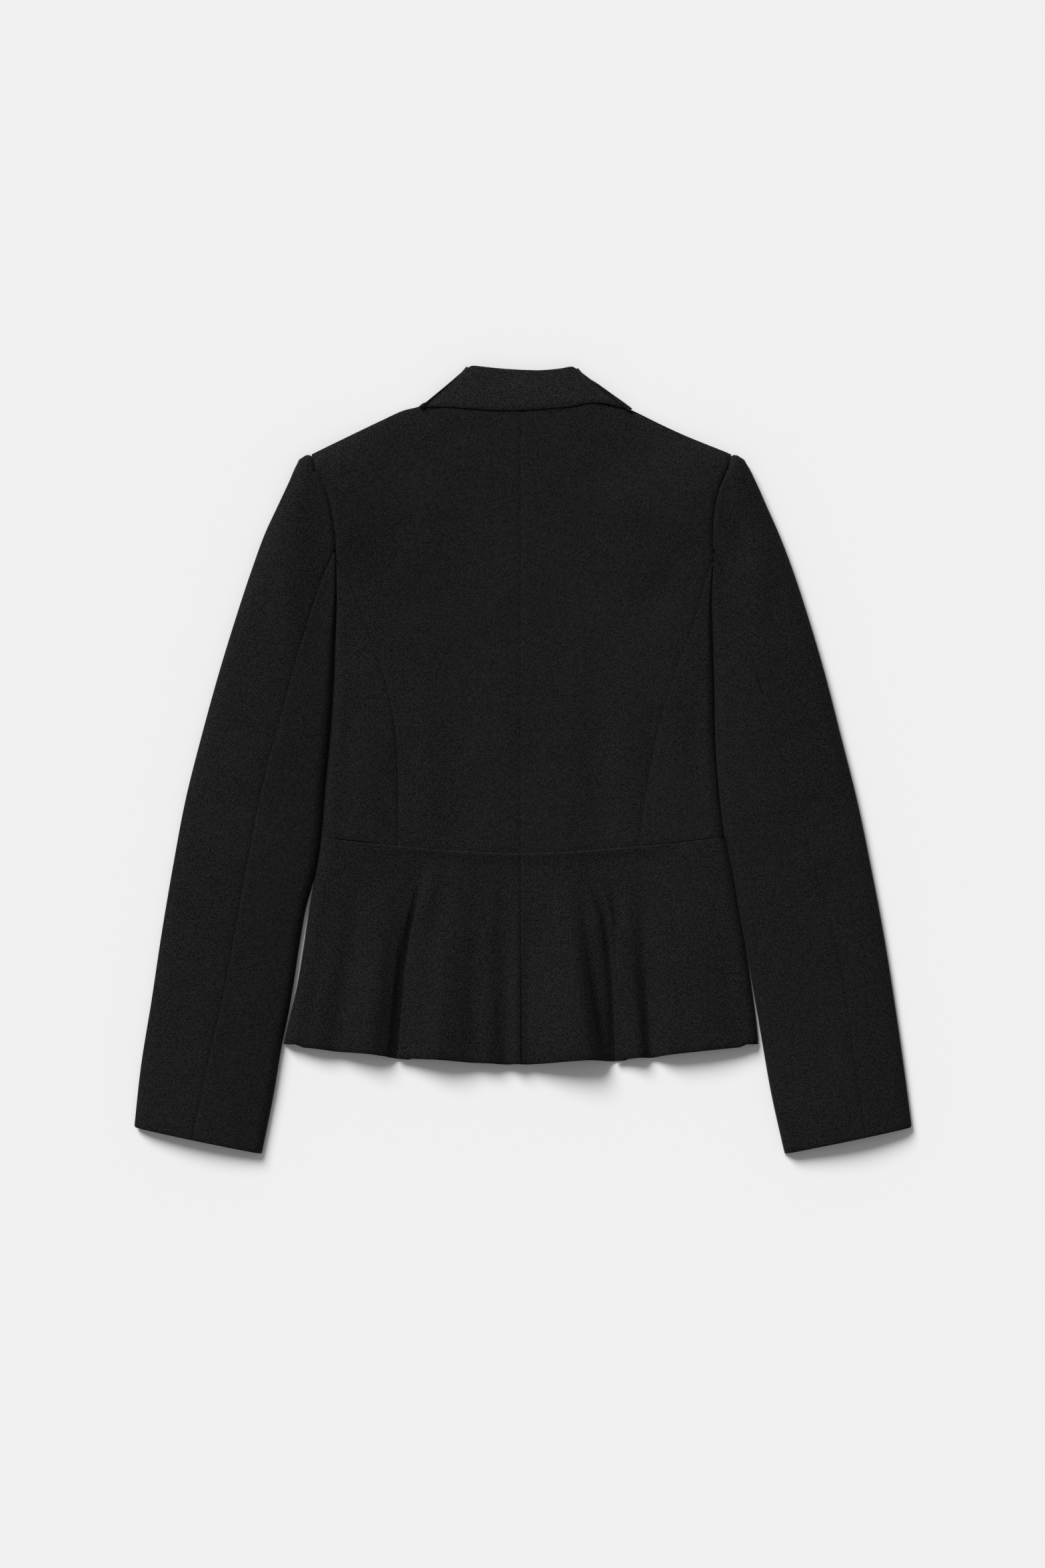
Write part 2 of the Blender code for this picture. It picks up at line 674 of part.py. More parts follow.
def under_sleeve(side, name):
    """Under sleeve: from the elbow seam, round the inner edge, to the forearm seam underneath."""
    grid = []
    for y_inner, y_outer in sleeve_rows():
        if y_inner > SLEEVE_FORK_Y:
            continue
        inner, outer, length, height, elbow, under, _ = sleeve_section(side, y_inner, y_outer)
        gap = SEAM / 2 / length
        width = mix(1.2, 8.0, ease((184 - y_inner) / 45))
        start = elbow - gap
        width = min(width / length, start * 0.6)
        middle = EDGE_SHARE * height(0)
        row = []
        for i in range(3):
            f = mix(start, width, i / 3)
            spot = inner.lerp(outer, f)
            row.append(Vector((spot.x, spot.y, height(f))))
        for turn in (90, 65, 40, 20, 0):
            angle = math.radians(turn)
            spot = inner.lerp(outer, width * (1 - math.cos(angle)))
            row.append(Vector((spot.x, spot.y, middle + (height(width) - middle) * math.sin(angle))))
        end = under - gap
        low = min(5.0 / length, end * 0.6)
        for turn in (30, 60, 90):
            angle = math.radians(turn)
            spot = inner.lerp(outer, low * (1 - math.cos(angle)))
            row.append(Vector((spot.x, spot.y, middle * (1 - math.sin(angle)))))
        spot = inner.lerp(outer, end)
        row.append(Vector((spot.x, spot.y, 0.0)))
        grid.append(row)
    return cloth(name, grid, UNDER_COLOUR)


def lap_points(lap, t, base):
    """The folded-over part of a peplum row: under layer, turn, middle layer, edge and upper layer."""
    waist_x, hem_x, overlap, low, start = lap
    x = mix(waist_x, hem_x, t**0.8)
    grown = ease(share(t, start - 0.12, start + 0.42))
    wide = overlap * share(t, start, 1.0) if t > start else 0.0
    floor = mix(base, low, ease(t * 2.2))
    folded = (
        (-5.0, 0.0),
        (wide - 1.0, 0.0),
        (wide + 0.4, 0.4),
        (wide - 1.0, 0.9),
        (2.4, 1.0),
        (0.0, 3.1),
        (2.4, 5.2),
        (8.0, 7.0),
    )
    rise = 7.0 * ease(t * 1.6)
    found = []
    for i, (along, up) in enumerate(folded):
        flat_x = -5.0 + 13.0 * i / 7
        flat_z = rise * ease(i / 7)
        found.append((x + mix(flat_x, along, grown), floor + mix(flat_z, up, grown)))
    return found


def peplum_row(side, t):
    """Control points (x, z) of a peplum row's top, at a share of the way from the waist to the hem."""
    waves, lap = (WAVES_LEFT, LAP_LEFT) if side < 0 else (WAVES_RIGHT, LAP_RIGHT)
    found = []
    for wave in waves:
        if wave == "lap":
            base = top_height(side, CENTRE + lap[0], -80)
            found += [(CENTRE + x, z) for x, z in lap_points(lap, t, base)]
            continue
        waist_x, hem_x, height, start = wave
        x = CENTRE + mix(waist_x, hem_x, t)
        base = top_height(side, CENTRE + waist_x, -80)
        found.append((x, mix(base, height, ease(share(t, start * 0.6, 1.15)))))
    return found


def smooth_through(points, steps):
    """Points of a soft curve through control points, with the given number of steps in each span."""
    found = []
    last = len(points) - 1
    for i in range(last):
        a, b = Vector(points[max(i - 1, 0)]), Vector(points[i])
        c, d = Vector(points[i + 1]), Vector(points[min(i + 2, last)])
        for k in range(steps):
            t = k / steps
            spot = b * 2 + (c - a) * t + (a * 2 - b * 5 + c * 4 - d) * t**2 + (b * 3 - a - c * 3 + d) * t**3
            found.append(spot / 2)
    return found + [Vector(points[-1])]


def peplum_back(side, name):
    """Flared peplum with its folds, from the centre seam round the side to the side seam underneath."""
    column = side_column(side)
    inset = SEAM / 2
    grid = []
    for step in range(PEPLUM_ROWS + 1):
        t = step / PEPLUM_ROWS
        spots = peplum_row(side, t)
        spots = spots[::-1] if side < 0 else spots
        spots[0] = (spots[0][0] + side * inset, spots[0][1])
        row = []
        for spot in smooth_through(spots, 2):
            top, bottom = waist_y(spot.x / mix(1, HEM_FLARE, t)) - inset, hem_y(spot.x)
            row.append(Vector((spot.x, mix(top, bottom, t), spot.y)))
        y = mix(waist_y(WAIST_SIDE_X) - inset, HEM_SIDE_Y, t)
        x_edge = side * lookup(BODY_EDGE, y, column)
        height = mix(row[-1].z, SIDE_HEM_HEIGHT, 0.5)
        x_under = side_seam(side, y).x + side * inset
        arc = side_contour(side, row[-1].x, row[-1].y, x_edge, y, x_under, y, lambda f: height, 8.0, 1)
        grid.append(row + arc[1:])
    return cloth(name, grid, PEPLUM_COLOUR, check=(0, 3), even=False)


def peplum_front(side, name):
    """Plain peplum front underneath, from the centre to the side seam."""
    inset = SEAM / 2
    grid = []
    for t in (0.0, 0.2, 0.4, 0.6, 0.8, 1.0):
        row = []
        y_side = mix(waist_y(WAIST_SIDE_X) - inset, HEM_SIDE_Y + FRONT_HEM_SHORT, t)
        outer = side_seam(side, y_side).x - side * 2 * SEAM
        inner = CENTRE + side * mix(inset, 5.0, t)
        for i in range(8):
            s = i / 7
            x = mix(inner, outer, s)
            top = waist_y(x / mix(1, HEM_FLARE, t)) - inset
            bottom = hem_y(x * 1.08) + FRONT_HEM_SHORT
            bottom += 5.0 * (1 - ease(s * 7)) if i == 0 else 0.0
            y = mix(top, bottom, t) if i < 7 else y_side
            row.append(Vector((x, y, 0.0)))
        grid.append(row)
    return cloth(name, grid, FRONT_COLOUR, faces_up=False)


for old in list(bpy.data.objects):
    bpy.data.objects.remove(old)
parts = bpy.data.collections.new("peplum_jacket")
bpy.context.scene.collection.children.link(parts)

for side, word in ((-1, "left"), (1, "right")):
    back(side, "back_" + word)
    side_panel(side, "side_" + word)
    front(side, "front_" + word)
    lapel(side, "lapel_" + word)
    top_sleeve(side, "top_sleeve_" + word)
    under_sleeve(side, "under_sleeve_" + word)
    peplum_back(side, "peplum_back_" + word)
    peplum_front(side, "peplum_front_" + word)
collar("collar")
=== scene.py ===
import math

import bpy
import numpy as np
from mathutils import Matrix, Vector


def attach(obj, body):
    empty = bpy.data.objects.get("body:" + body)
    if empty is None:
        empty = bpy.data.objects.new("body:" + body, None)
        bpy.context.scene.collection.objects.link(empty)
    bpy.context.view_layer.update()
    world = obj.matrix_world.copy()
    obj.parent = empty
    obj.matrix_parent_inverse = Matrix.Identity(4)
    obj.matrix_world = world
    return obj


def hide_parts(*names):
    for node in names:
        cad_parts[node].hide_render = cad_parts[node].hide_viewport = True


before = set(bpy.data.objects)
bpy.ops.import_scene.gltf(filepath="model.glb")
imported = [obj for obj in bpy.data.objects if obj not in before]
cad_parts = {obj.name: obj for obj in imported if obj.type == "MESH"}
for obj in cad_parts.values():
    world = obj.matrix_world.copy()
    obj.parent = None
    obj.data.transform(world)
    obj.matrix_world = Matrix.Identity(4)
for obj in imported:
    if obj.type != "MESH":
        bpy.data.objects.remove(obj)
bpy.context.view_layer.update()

# Back: two panels of black wool flannel, sewn together down the centre. Shoulders and armholes are cut along
# their upper and outer edges, and the lower edges meet the peplum at the waist seam.
# Sizes here are in millimetres, and become metres in wool_piece().
MM = 0.001
SEAM = -0.16  # sewn pieces press into each other by this much at a seam
CLOTH = 1.5  # thickness of the flannel with its fusing
CENTRE = -2.0  # X of the centre-back and centre-front seams
CENTRE_TOP = 7.1  # top of the back along its centre
NECK_MIDDLE = 4.6  # height of the collar's side folds
SIDE_RISE = 3.4
PAD_RISE = 6.0  # the shoulder stands up over its fullness
SHOULDER_FALL = 2.4  # the back falls away towards the shoulders' edge
TIP_Y = 270.6
CAP_ROUND = 15.0  # the sleeve head's round at the shoulder tip
WAIST_CENTRE_Y = -83.4
WAIST_DIP = 14.6
WAIST_SIDE = 178.0  # half width of the body at the waist
NECK_SIDE = 75.0  # from the centre to where neck and shoulder meet
WAIST_END_Y = WAIST_CENTRE_Y + 7.3  # where the princess seams reach the waist
ARMHOLE_FOOT_Y = 177.0
NECK_SEAM_Y = 316.0
FINE = 3.2  # largest step of a fine grid
SEAM_TURN = (1.0, 3.0)  # how deep a sewn edge turns in, and over what width
RIGHT_SEAM_TURN = (0.7, 3.0)  # the right side's seams are pulled flatter
HEM_TURN = (0.9, 2.2)
NO_TURN = (0.0, 1.0)

# y, left, right: the body's half width from X = 0, where it meets the sleeves and below
BODY_EDGE = (
    (270.6, 187.0, 184.5),
    (257, 183.6, 180.5),
    (244, 176.7, 175.0),
    (234, 172.6, 171.8),
    (223, 169.8, 169.4),
    (208, 167.0, 168.0),
    (195, 165.4, 167.5),
    (177, 164.9, 167.9),
    (142, 164.4, 166.6),
    (103, 166.0, 168.0),
    (65, 167.6, 169.4),
    (20, 170.8, 170.2),
    (-25, 175.0, 173.4),
    (-69, 178.6, 178.8),
    (-97, 183.0, 184.2),
    (-130, 188.8, 189.6),
    (-165, 194.0, 196.0),
    (-200, 199.8, 202.2),
    (-225, 205.6, 205.8),
    (-251, 211.8, 208.6),
)
# y, left, right: the princess seams of the back
PRINCESS_SEAM = (
    (177, 164.9, 167.9),
    (165, 157.6, 163.6),
    (153, 150.9, 159.6),
    (126, 141.0, 152.6),
    (98, 131.4, 142.4),
    (67, 120.8, 131.0),
    (34, 113.6, 121.4),
    (-2, 110.8, 113.2),
    (-33, 110.2, 108.0),
    (-76.1, 110.6, 102.3),
)
# distance from the centre, y left, y right: the shoulders' edge
SHOULDER = (
    (75, 317.5, 318.0),
    (92, 312.0, 312.0),
    (104, 309.0, 306.8),
    (124, 300.2, 297.2),
    (147, 289.2, 286.6),
    (173, 276.6, 276.0),
    (186, 270.3, 270.8),
)
# x and y of one end, x and y of the other, half width, height: soft troughs and ridges pressed into the back
BACK_CREASES = (
    (-108, 30, -114, -84, 15, -1.9),
    (-88, 70, -78, -90, 14, 1.5),
    (-56, 160, -46, -80, 22, -1.3),
    (-20, 60, -24, -90, 17, 1.3),
    (28, 240, 34, 20, 20, -1.4),
    (40, 30, 34, -88, 18, 1.2),
    (62, 120, 72, -84, 16, -1.9),
    (92, 90, 94, -84, 15, 1.2),
    (118, 50, 112, -76, 13, -1.2),
    (-150, 70, -160, -70, 10, -1.6),
    (152, 76, 158, -70, 10, -1.5),
    (-128, 214, -54, 240, 17, 0.9),
    (126, 212, 54, 242, 16, 1.1),
    (-150, 196, -100, 116, 13, -1.9),
    (152, 200, 104, 122, 14, -1.9),
    (-84, 250, -92, 140, 20, 1.3),
    (86, 250, 90, 150, 20, 1.2),
    (-40, 298, -88, 262, 13, -0.9),
    (44, 298, 94, 258, 13, -1.0),
)


def side_column(side):
    """Column of a table with y, left and right."""
    return 1 if side < 0 else 2


def lookup(table, at, column):
    """A smooth curve through a table's column, against its first column."""
    rows = table if table[0][0] < table[-1][0] else table[::-1]
    last = len(rows) - 2
    i = 0
    while i < last and at > rows[i + 1][0]:
        i += 1

    def slope(a, b):
        return (rows[b][column] - rows[a][column]) / (rows[b][0] - rows[a][0])

    span = rows[i + 1][0] - rows[i][0]
    chord = slope(i, i + 1)
    start = (slope(i - 1, i) + chord) / 2 if i > 0 else chord
    end = (chord + slope(i + 1, i + 2)) / 2 if i < last else chord
    t = (at - rows[i][0]) / span
    value = rows[i][column] * (2 * t**3 - 3 * t**2 + 1) + rows[i + 1][column] * (3 * t**2 - 2 * t**3)
    return value + span * (start * (t**3 - 2 * t**2 + t) + end * (t**3 - t**2))


def ease(x):
    """From 0 to 1, with soft ends."""
    x = min(max(x, 0.0), 1.0)
    return x * x * (3 - 2 * x)


def mix(a, b, t):
    return a + (b - a) * t


def share(value, start, end):
    return (value - start) / (end - start)


def plan(x, y):
    return Vector((x, y))


def rounded(distance, width):
    """Height, from 0 to 1, of a quarter round at a distance from its edge."""
    x = min(max(distance / width, 0.0), 1.0)
    return math.sqrt(1 - (1 - x) ** 2)


def waist_y(x):
    return WAIST_CENTRE_Y + WAIST_DIP * min(abs(x - CENTRE) / 177.0, 1.0) ** 1.6


def shoulder_y(side, away):
    return lookup(SHOULDER, away, side_column(side))


def shoulder_inside(side, x, y):
    """Distance of a point from the shoulder's edge. Inside the neck it grows, as that seam isn't rounded."""
    away = abs(x - CENTRE)
    below = max(shoulder_y(side, max(away, NECK_SIDE)) - y, 0.0)
    return below * 0.9 + 1.2 * max(NECK_SIDE - away, 0.0)


def shoulder_round(away):
    """Width of the shoulder's rounded edge."""
    return mix(4.0, 15.0, ease((away - 92) / 60))


def shoulder_middle(away):
    """Height of the shoulder's outermost edge."""
    return mix(NECK_MIDDLE, 6.4, ease((away - 92) / 60))


def top_height(side, x, y):
    """Height of the back's upper face."""
    away = abs(x - CENTRE)
    width = lookup(BODY_EDGE, min(y, TIP_Y), side_column(side))
    height = CENTRE_TOP + SIDE_RISE * ease((away / width - 0.35) / 0.55) * ease((292 - y) / 60)
    height += PAD_RISE * ease((away - 96) / 66) * ease((y - 150) / 100)
    middle = shoulder_middle(away)
    inside = shoulder_inside(side, x, y)
    height -= SHOULDER_FALL * (1 - min(inside / 30.0, 1.0)) ** 2
    return middle + (height - middle) * rounded(inside, shoulder_round(away))


def blended(top, bottom, inner, outer, s, t):
    """Point of a patch between four edges, given as functions of s or t."""
    across = top(s) * (1 - t) + bottom(s) * t
    down = inner(t) * (1 - s) + outer(t) * s
    corners = (top(0) * (1 - s) + top(1) * s) * (1 - t) + (bottom(0) * (1 - s) + bottom(1) * s) * t
    return across + down - corners


def finer(marks, step=FINE):
    """The marks with more between them, and two close to each end."""
    ends = (0.6, 1.5)
    first, last = marks[0], marks[-1]
    way = 1 if last > first else -1
    full = [first] + [first + way * e for e in ends] + list(marks[1:-1])
    full += [last - way * e for e in ends[::-1]] + [last]
    found = []
    for a, b in zip(full, full[1:]):
        count = max(1, math.ceil(abs(b - a) / step))
        found += [mix(a, b, i / count) for i in range(count)]
    return found + [last]


def soft_folds(x, y, folds):
    """Height of soft troughs and ridges at each point: rounded across, and fading out at both ends."""
    height = np.zeros_like(x)
    for x0, y0, x1, y1, half, rise in folds:
        length = math.hypot(x1 - x0, y1 - y0)
        along = ((x - x0) * (x1 - x0) + (y - y0) * (y1 - y0)) / length**2
        away = ((x - x0) * (y1 - y0) - (y - y0) * (x1 - x0)) / length
        bend = away - 0.12 * half * np.sin(along * 5.0 + x0)
        body = np.clip(1.0 - (2.0 * along - 1.0) ** 2, 0.0, 1.0) ** 0.8
        height += rise * body * np.exp(-((bend / half) ** 2))
    return height


def lie_of_cloth(x, y):
    """Slow unevenness of cloth that lies on cloth, the same on both sides of a seam."""
    waves = 0.22 * np.sin(x / 31.0 + 0.8 * np.sin(y / 47.0)) * np.sin(y / 39.0 + 1.3)
    waves += 0.13 * np.sin(x / 13.0 + y / 21.0 + 1.1 * np.sin(x / 37.0)) + 0.1 * np.sin(y / 11.5 - x / 17.0)
    return waves


def armhole_depth(y):
    """How deep an edge at the body turns in: deep along the armhole, less below it."""
    return np.interp(y, (150.0, ARMHOLE_FOOT_Y, 200.0), (0.6, 1.4, 2.4))


def grid_normals(points):
    """Unit normal at each point of a grid, taken farther in where its lines almost run together."""
    across, down = np.gradient(points, axis=1), np.gradient(points, axis=0)
    normals = np.cross(across, down)
    size = np.linalg.norm(normals, axis=2, keepdims=True)
    full = np.linalg.norm(across, axis=2, keepdims=True) * np.linalg.norm(down, axis=2, keepdims=True)
    normals = normals / np.maximum(size, 1e-9)
    return np.where(size < 0.3 * full, np.roll(normals, (-4, -4), axis=(0, 1)), normals)


def edge_distance(points, axis):
    """Distance of each point from the grid's first and last line, along the cloth."""
    steps = np.linalg.norm(np.diff(points, axis=axis), axis=2)
    run = np.insert(np.cumsum(steps, axis=axis), 0, 0.0, axis=axis)
    return run, np.take(run, [-1], axis=axis) - run


def as_array(rows):
    return np.array([[tuple(point) for point in row] for row in rows])


def wool_piece(name, rows, turns, folds=(), check=(0.5, 0.5), faces_up=True):
    """A cut piece of cloth as a thin closed shell, from rows of points on its outer face.

    Turns has the depth and width that its first row, last row, first column and last column turn in by.
    The point at check, as shares of the rows and the columns, shows which way the outer face looks.
    """
    points = as_array(rows)
    normals = grid_normals(points)
    at = (int(check[0] * (points.shape[0] - 1)), int(check[1] * (points.shape[1] - 1)))
    turned_over = (normals[at][2] > 0) != faces_up
    if turned_over:
        normals = -normals
    down, up = edge_distance(points, 0)
    across, back_across = edge_distance(points, 1)
    depth = np.zeros(points.shape[:2])
    for (deep, wide), distance in zip(turns, (down, up, across, back_across)):
        most = deep(points[..., 1]) if callable(deep) else deep
        depth = np.maximum(depth, most * np.clip(1.0 - distance / wide, 0.0, 1.0) ** 2)
    shaped = points - normals * depth[..., None]
    facing = np.clip(normals[..., 2] * 1.6, 0.0, 1.0)
    x, y = points[..., 0], points[..., 1]
    lie = lie_of_cloth(x, y) if faces_up else 0.0
    shaped[..., 2] += facing * (soft_folds(x, y, folds) + lie)
    shaped[..., 2] = np.maximum(shaped[..., 2], 0.0)
    count = points.shape[1]
    faces = []
    for r in range(points.shape[0] - 1):
        for c in range(count - 1):
            face = (r * count + c, r * count + c + 1, (r + 1) * count + c + 1, (r + 1) * count + c)
            faces.append(face[::-1] if turned_over else face)
    mesh = bpy.data.meshes.new(name)
    mesh.from_pydata((shaped.reshape(-1, 3) * MM).tolist(), [], faces)
    uv = mesh.uv_layers.new(name="cloth")
    spots = np.stack([across, down], axis=2).reshape(-1, 2) * MM
    corner = np.empty(len(mesh.loops), dtype=np.int32)
    mesh.loops.foreach_get("vertex_index", corner)
    uv.data.foreach_set("uv", spots[corner].astype(np.float32).ravel())
    piece = bpy.data.objects.new(name, mesh)
    bpy.context.scene.collection.objects.link(piece)
    wall = piece.modifiers.new("Cloth thickness", "SOLIDIFY")
    wall.thickness = CLOTH * MM
    wall.offset = -1
    bevel = piece.modifiers.new("Soft edge", "BEVEL")
    bevel.limit_method = "ANGLE"
    bevel.angle_limit = math.radians(55)
    bevel.width = 0.4 * MM
    bevel.segments = 2
    made = bpy.data.meshes.new_from_object(piece.evaluated_get(bpy.context.evaluated_depsgraph_get()))
    piece.modifiers.clear()
    piece.data = made
    made.name = name
    made.shade_smooth()
    return piece


def cut_area(rows):
    """Area of cloth in a grid of points, in square metres."""
    points = as_array(rows) * MM
    one = np.cross(points[1:, :-1] - points[:-1, :-1], points[:-1, 1:] - points[:-1, :-1])
    two = np.cross(points[1:, :-1] - points[1:, 1:], points[:-1, 1:] - points[1:, 1:])
    return float(np.linalg.norm(one, axis=2).sum() + np.linalg.norm(two, axis=2).sum()) / 2


def cut_size(rows):
    """Greatest width and length of the cut cloth, in metres."""
    points = as_array(rows) * MM
    width = np.linalg.norm(np.diff(points, axis=1), axis=2).sum(axis=1).max()
    length = np.linalg.norm(np.diff(points, axis=0), axis=2).sum(axis=0).max()
    return round(float(width), 3), round(float(length), 3)


def dress(piece, node, rows, cloth):
    """Gives a piece its wool, hangs it on the root body, hides the model's part that it stands for, and works
    out the size and area of its cut.
    """
    piece.data.materials.append(cloth)
    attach(piece, "root")
    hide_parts(node)
    cut_size(rows)
    round(cut_area(rows), 4)


def outer_rows():
    """Y of each row on the body's outer edge: the shoulder's round, the armhole, then down to the waist."""
    band = [TIP_Y - CAP_ROUND * (1 - math.cos(math.radians(turn))) for turn in range(0, 90, 9)]
    return band + finer([TIP_Y - CAP_ROUND, ARMHOLE_FOOT_Y, WAIST_END_Y])


def back(side):
    """Grid of a back panel between the centre seam and the armhole and princess seam."""
    column = side_column(side)
    tip_away = lookup(BODY_EDGE, TIP_Y, column) + side * -CENTRE
    rows_y = outer_rows()
    inset = SEAM / 2

    def top(s):
        away = mix(inset, tip_away, s)
        if away <= NECK_SIDE:
            neck = mix(NECK_SEAM_Y, shoulder_y(side, NECK_SIDE), ease(away / NECK_SIDE)) - inset
            return plan(CENTRE + side * away, neck)
        return plan(CENTRE + side * away, shoulder_y(side, away))

    def bottom(s):
        x = CENTRE + side * mix(inset, abs(outer(1).x - CENTRE), s)
        return plan(x, waist_y(x) + inset)

    def inner(t):
        return plan(CENTRE + side * inset, mix(NECK_SEAM_Y - inset, WAIST_CENTRE_Y + inset, t))

    def outer(t):
        y = mix(TIP_Y, WAIST_END_Y, t)
        table = BODY_EDGE if y >= ARMHOLE_FOOT_Y - 0.001 else PRINCESS_SEAM
        return plan(side * (lookup(table, y, column) - inset), y)

    grid = []
    for y in rows_y:
        t = share(y, TIP_Y, WAIST_END_Y)
        row = []
        for away in finer([0, tip_away]):
            spot = blended(top, bottom, inner, outer, away / tip_away, t)
            row.append(Vector((spot.x, spot.y, top_height(side, spot.x, spot.y))))
        grid.append(row)
    return grid


NAP_SLANT = (0.5, 0.4, 0.6)  # turns the noise, so that no row of it lines up with the rows of a picture


def wool_weave():
    """Flannel: a plain weave almost hidden by raised nap, with paler fibres and slow changes of shade."""
    group = bpy.data.node_groups.new("wool_weave", "ShaderNodeTree")
    face = group.interface
    for word, kind, value in (
        ("Cloth place", "NodeSocketVector", None),
        ("Garment place", "NodeSocketVector", None),
        ("Threads a metre", "NodeSocketFloat", 900.0),
        ("Deep shade", "NodeSocketColor", (0.008, 0.008, 0.009, 1)),
        ("Nap shade", "NodeSocketColor", (0.02, 0.02, 0.021, 1)),
        ("Wear", "NodeSocketFloat", 0.3),
    ):
        socket = face.new_socket(word, in_out="INPUT", socket_type=kind)
        if value is not None:
            socket.default_value = value
    face.new_socket("Shade", in_out="OUTPUT", socket_type="NodeSocketColor")
    face.new_socket("Roughness", in_out="OUTPUT", socket_type="NodeSocketFloat")
    face.new_socket("Height", in_out="OUTPUT", socket_type="NodeSocketFloat")
    nodes, links = group.nodes, group.links
    given = nodes.new("NodeGroupInput")
    result = nodes.new("NodeGroupOutput")

    def put(socket, value):
        if isinstance(value, bpy.types.NodeSocket):
            links.new(value, socket)
        else:
            socket.default_value = value

    def maths(operation, *values):
        node = nodes.new("ShaderNodeMath")
        node.operation = operation
        for socket, value in zip(node.inputs, values):
            put(socket, value)
        return node.outputs[0]

    def noise(place, scale, detail, roughness=0.5, distortion=0.0):
        node = nodes.new("ShaderNodeTexNoise")
        for word, value in (
            ("Vector", place),
            ("Scale", scale),
            ("Detail", detail),
            ("Roughness", roughness),
            ("Distortion", distortion),
        ):
            put(node.inputs[word], value)
        return node.outputs["Fac"]

    def between(value, low, high, start, end):
        node = nodes.new("ShaderNodeMapRange")
        node.interpolation_type = "SMOOTHSTEP"
        for socket, number in zip(node.inputs, (value, low, high, start, end)):
            put(socket, number)
        return node.outputs[0]

    def stretched(place, x, y):
        node = nodes.new("ShaderNodeMapping")
        links.new(place, node.inputs["Vector"])
        node.inputs["Scale"].default_value = (x, y, 1.0)
        node.inputs["Rotation"].default_value = NAP_SLANT
        return node.outputs["Vector"]

    cloth_place = given.outputs["Cloth place"]
    garment_place = given.outputs["Garment place"]
    split = nodes.new("ShaderNodeSeparateXYZ")
    links.new(cloth_place, split.inputs[0])
    turn = maths("MULTIPLY", given.outputs["Threads a metre"], 6.2832)
    sway = maths("MULTIPLY", maths("SUBTRACT", noise(cloth_place, 160.0, 3.0), 0.5), 9.0)
    warp = maths("SINE", maths("ADD", maths("MULTIPLY", split.outputs["X"], turn), sway))
    weft = maths("SINE", maths("ADD", maths("MULTIPLY", split.outputs["Y"], turn), sway))
    weave = maths("MULTIPLY", warp, weft)
    long_fibres = noise(stretched(cloth_place, 1.0, 0.45), 1500.0, 4.0, 0.65, 1.0)
    cross_fibres = noise(stretched(cloth_place, 0.5, 1.0), 1400.0, 3.0, 0.6, 0.8)
    nap = maths("MULTIPLY", maths("ADD", long_fibres, cross_fibres), 0.5)
    tufts = noise(stretched(garment_place, 1.0, 1.0), 900.0, 2.0, 0.6)
    slow = noise(garment_place, 9.0, 3.0, 0.5)
    lint = between(noise(stretched(garment_place, 1.0, 0.4), 900.0, 2.0), 0.735, 0.79, 0.0, 1.0)
    fluff = maths("ADD", maths("MULTIPLY", nap, 0.35), maths("MULTIPLY", tufts, 0.65))
    mass = maths("ADD", maths("MULTIPLY", weave, 0.07), fluff)
    share_of_nap = between(mass, 0.43, 0.57, 0.0, 1.0)
    worn = maths("MULTIPLY", between(slow, 0.35, 0.7, 0.0, 1.0), given.outputs["Wear"])
    lit = maths("ADD", maths("MULTIPLY", share_of_nap, 0.9), worn)
    shade = nodes.new("ShaderNodeMix")
    shade.data_type = "RGBA"
    shade.clamp_factor = True
    links.new(lit, shade.inputs["Factor"])
    links.new(given.outputs["Deep shade"], shade.inputs["A"])
    links.new(given.outputs["Nap shade"], shade.inputs["B"])
    flecked = nodes.new("ShaderNodeMix")
    flecked.data_type = "RGBA"
    links.new(maths("MULTIPLY", lint, 0.3), flecked.inputs["Factor"])
    links.new(shade.outputs["Result"], flecked.inputs["A"])
    flecked.inputs["B"].default_value = (0.09, 0.088, 0.085, 1)
    links.new(flecked.outputs["Result"], result.inputs["Shade"])
    links.new(between(mass, 0.3, 0.7, 0.98, 0.86), result.inputs["Roughness"])
    links.new(mass, result.inputs["Height"])
    return group


WOOL_WEAVE = wool_weave()


def wool(name, deep, nap, sheen=0.2, wear=0.06, turned=0.0):
    """Black wool flannel. Turned is the slant of its threads in degrees, where it is cut off the grain."""
    finish = bpy.data.materials.new(name)
    finish.use_nodes = True
    nodes, links = finish.node_tree.nodes, finish.node_tree.links
    surface = nodes["Principled BSDF"]
    place = nodes.new("ShaderNodeTexCoord")
    grain = nodes.new("ShaderNodeMapping")
    grain.inputs["Rotation"].default_value = (0, 0, math.radians(turned))
    links.new(place.outputs["UV"], grain.inputs["Vector"])
    weave = nodes.new("ShaderNodeGroup")
    weave.node_tree = WOOL_WEAVE
    links.new(grain.outputs["Vector"], weave.inputs["Cloth place"])
    links.new(place.outputs["Object"], weave.inputs["Garment place"])
    weave.inputs["Deep shade"].default_value = (deep, deep, deep, 1)
    weave.inputs["Nap shade"].default_value = (nap, nap, nap, 1)
    weave.inputs["Wear"].default_value = wear
    bump = nodes.new("ShaderNodeBump")
    bump.inputs["Strength"].default_value = 0.7
    bump.inputs["Distance"].default_value = 0.0007
    links.new(weave.outputs["Height"], bump.inputs["Height"])
    links.new(bump.outputs["Normal"], surface.inputs["Normal"])
    links.new(weave.outputs["Shade"], surface.inputs["Base Color"])
    links.new(weave.outputs["Roughness"], surface.inputs["Roughness"])
    surface.inputs["Specular IOR Level"].default_value = 0.08
    surface.inputs["Sheen Weight"].default_value = sheen
    surface.inputs["Sheen Roughness"].default_value = 0.25
    surface.inputs["Sheen Tint"].default_value = (0.55, 0.55, 0.55, 1)
    return finish


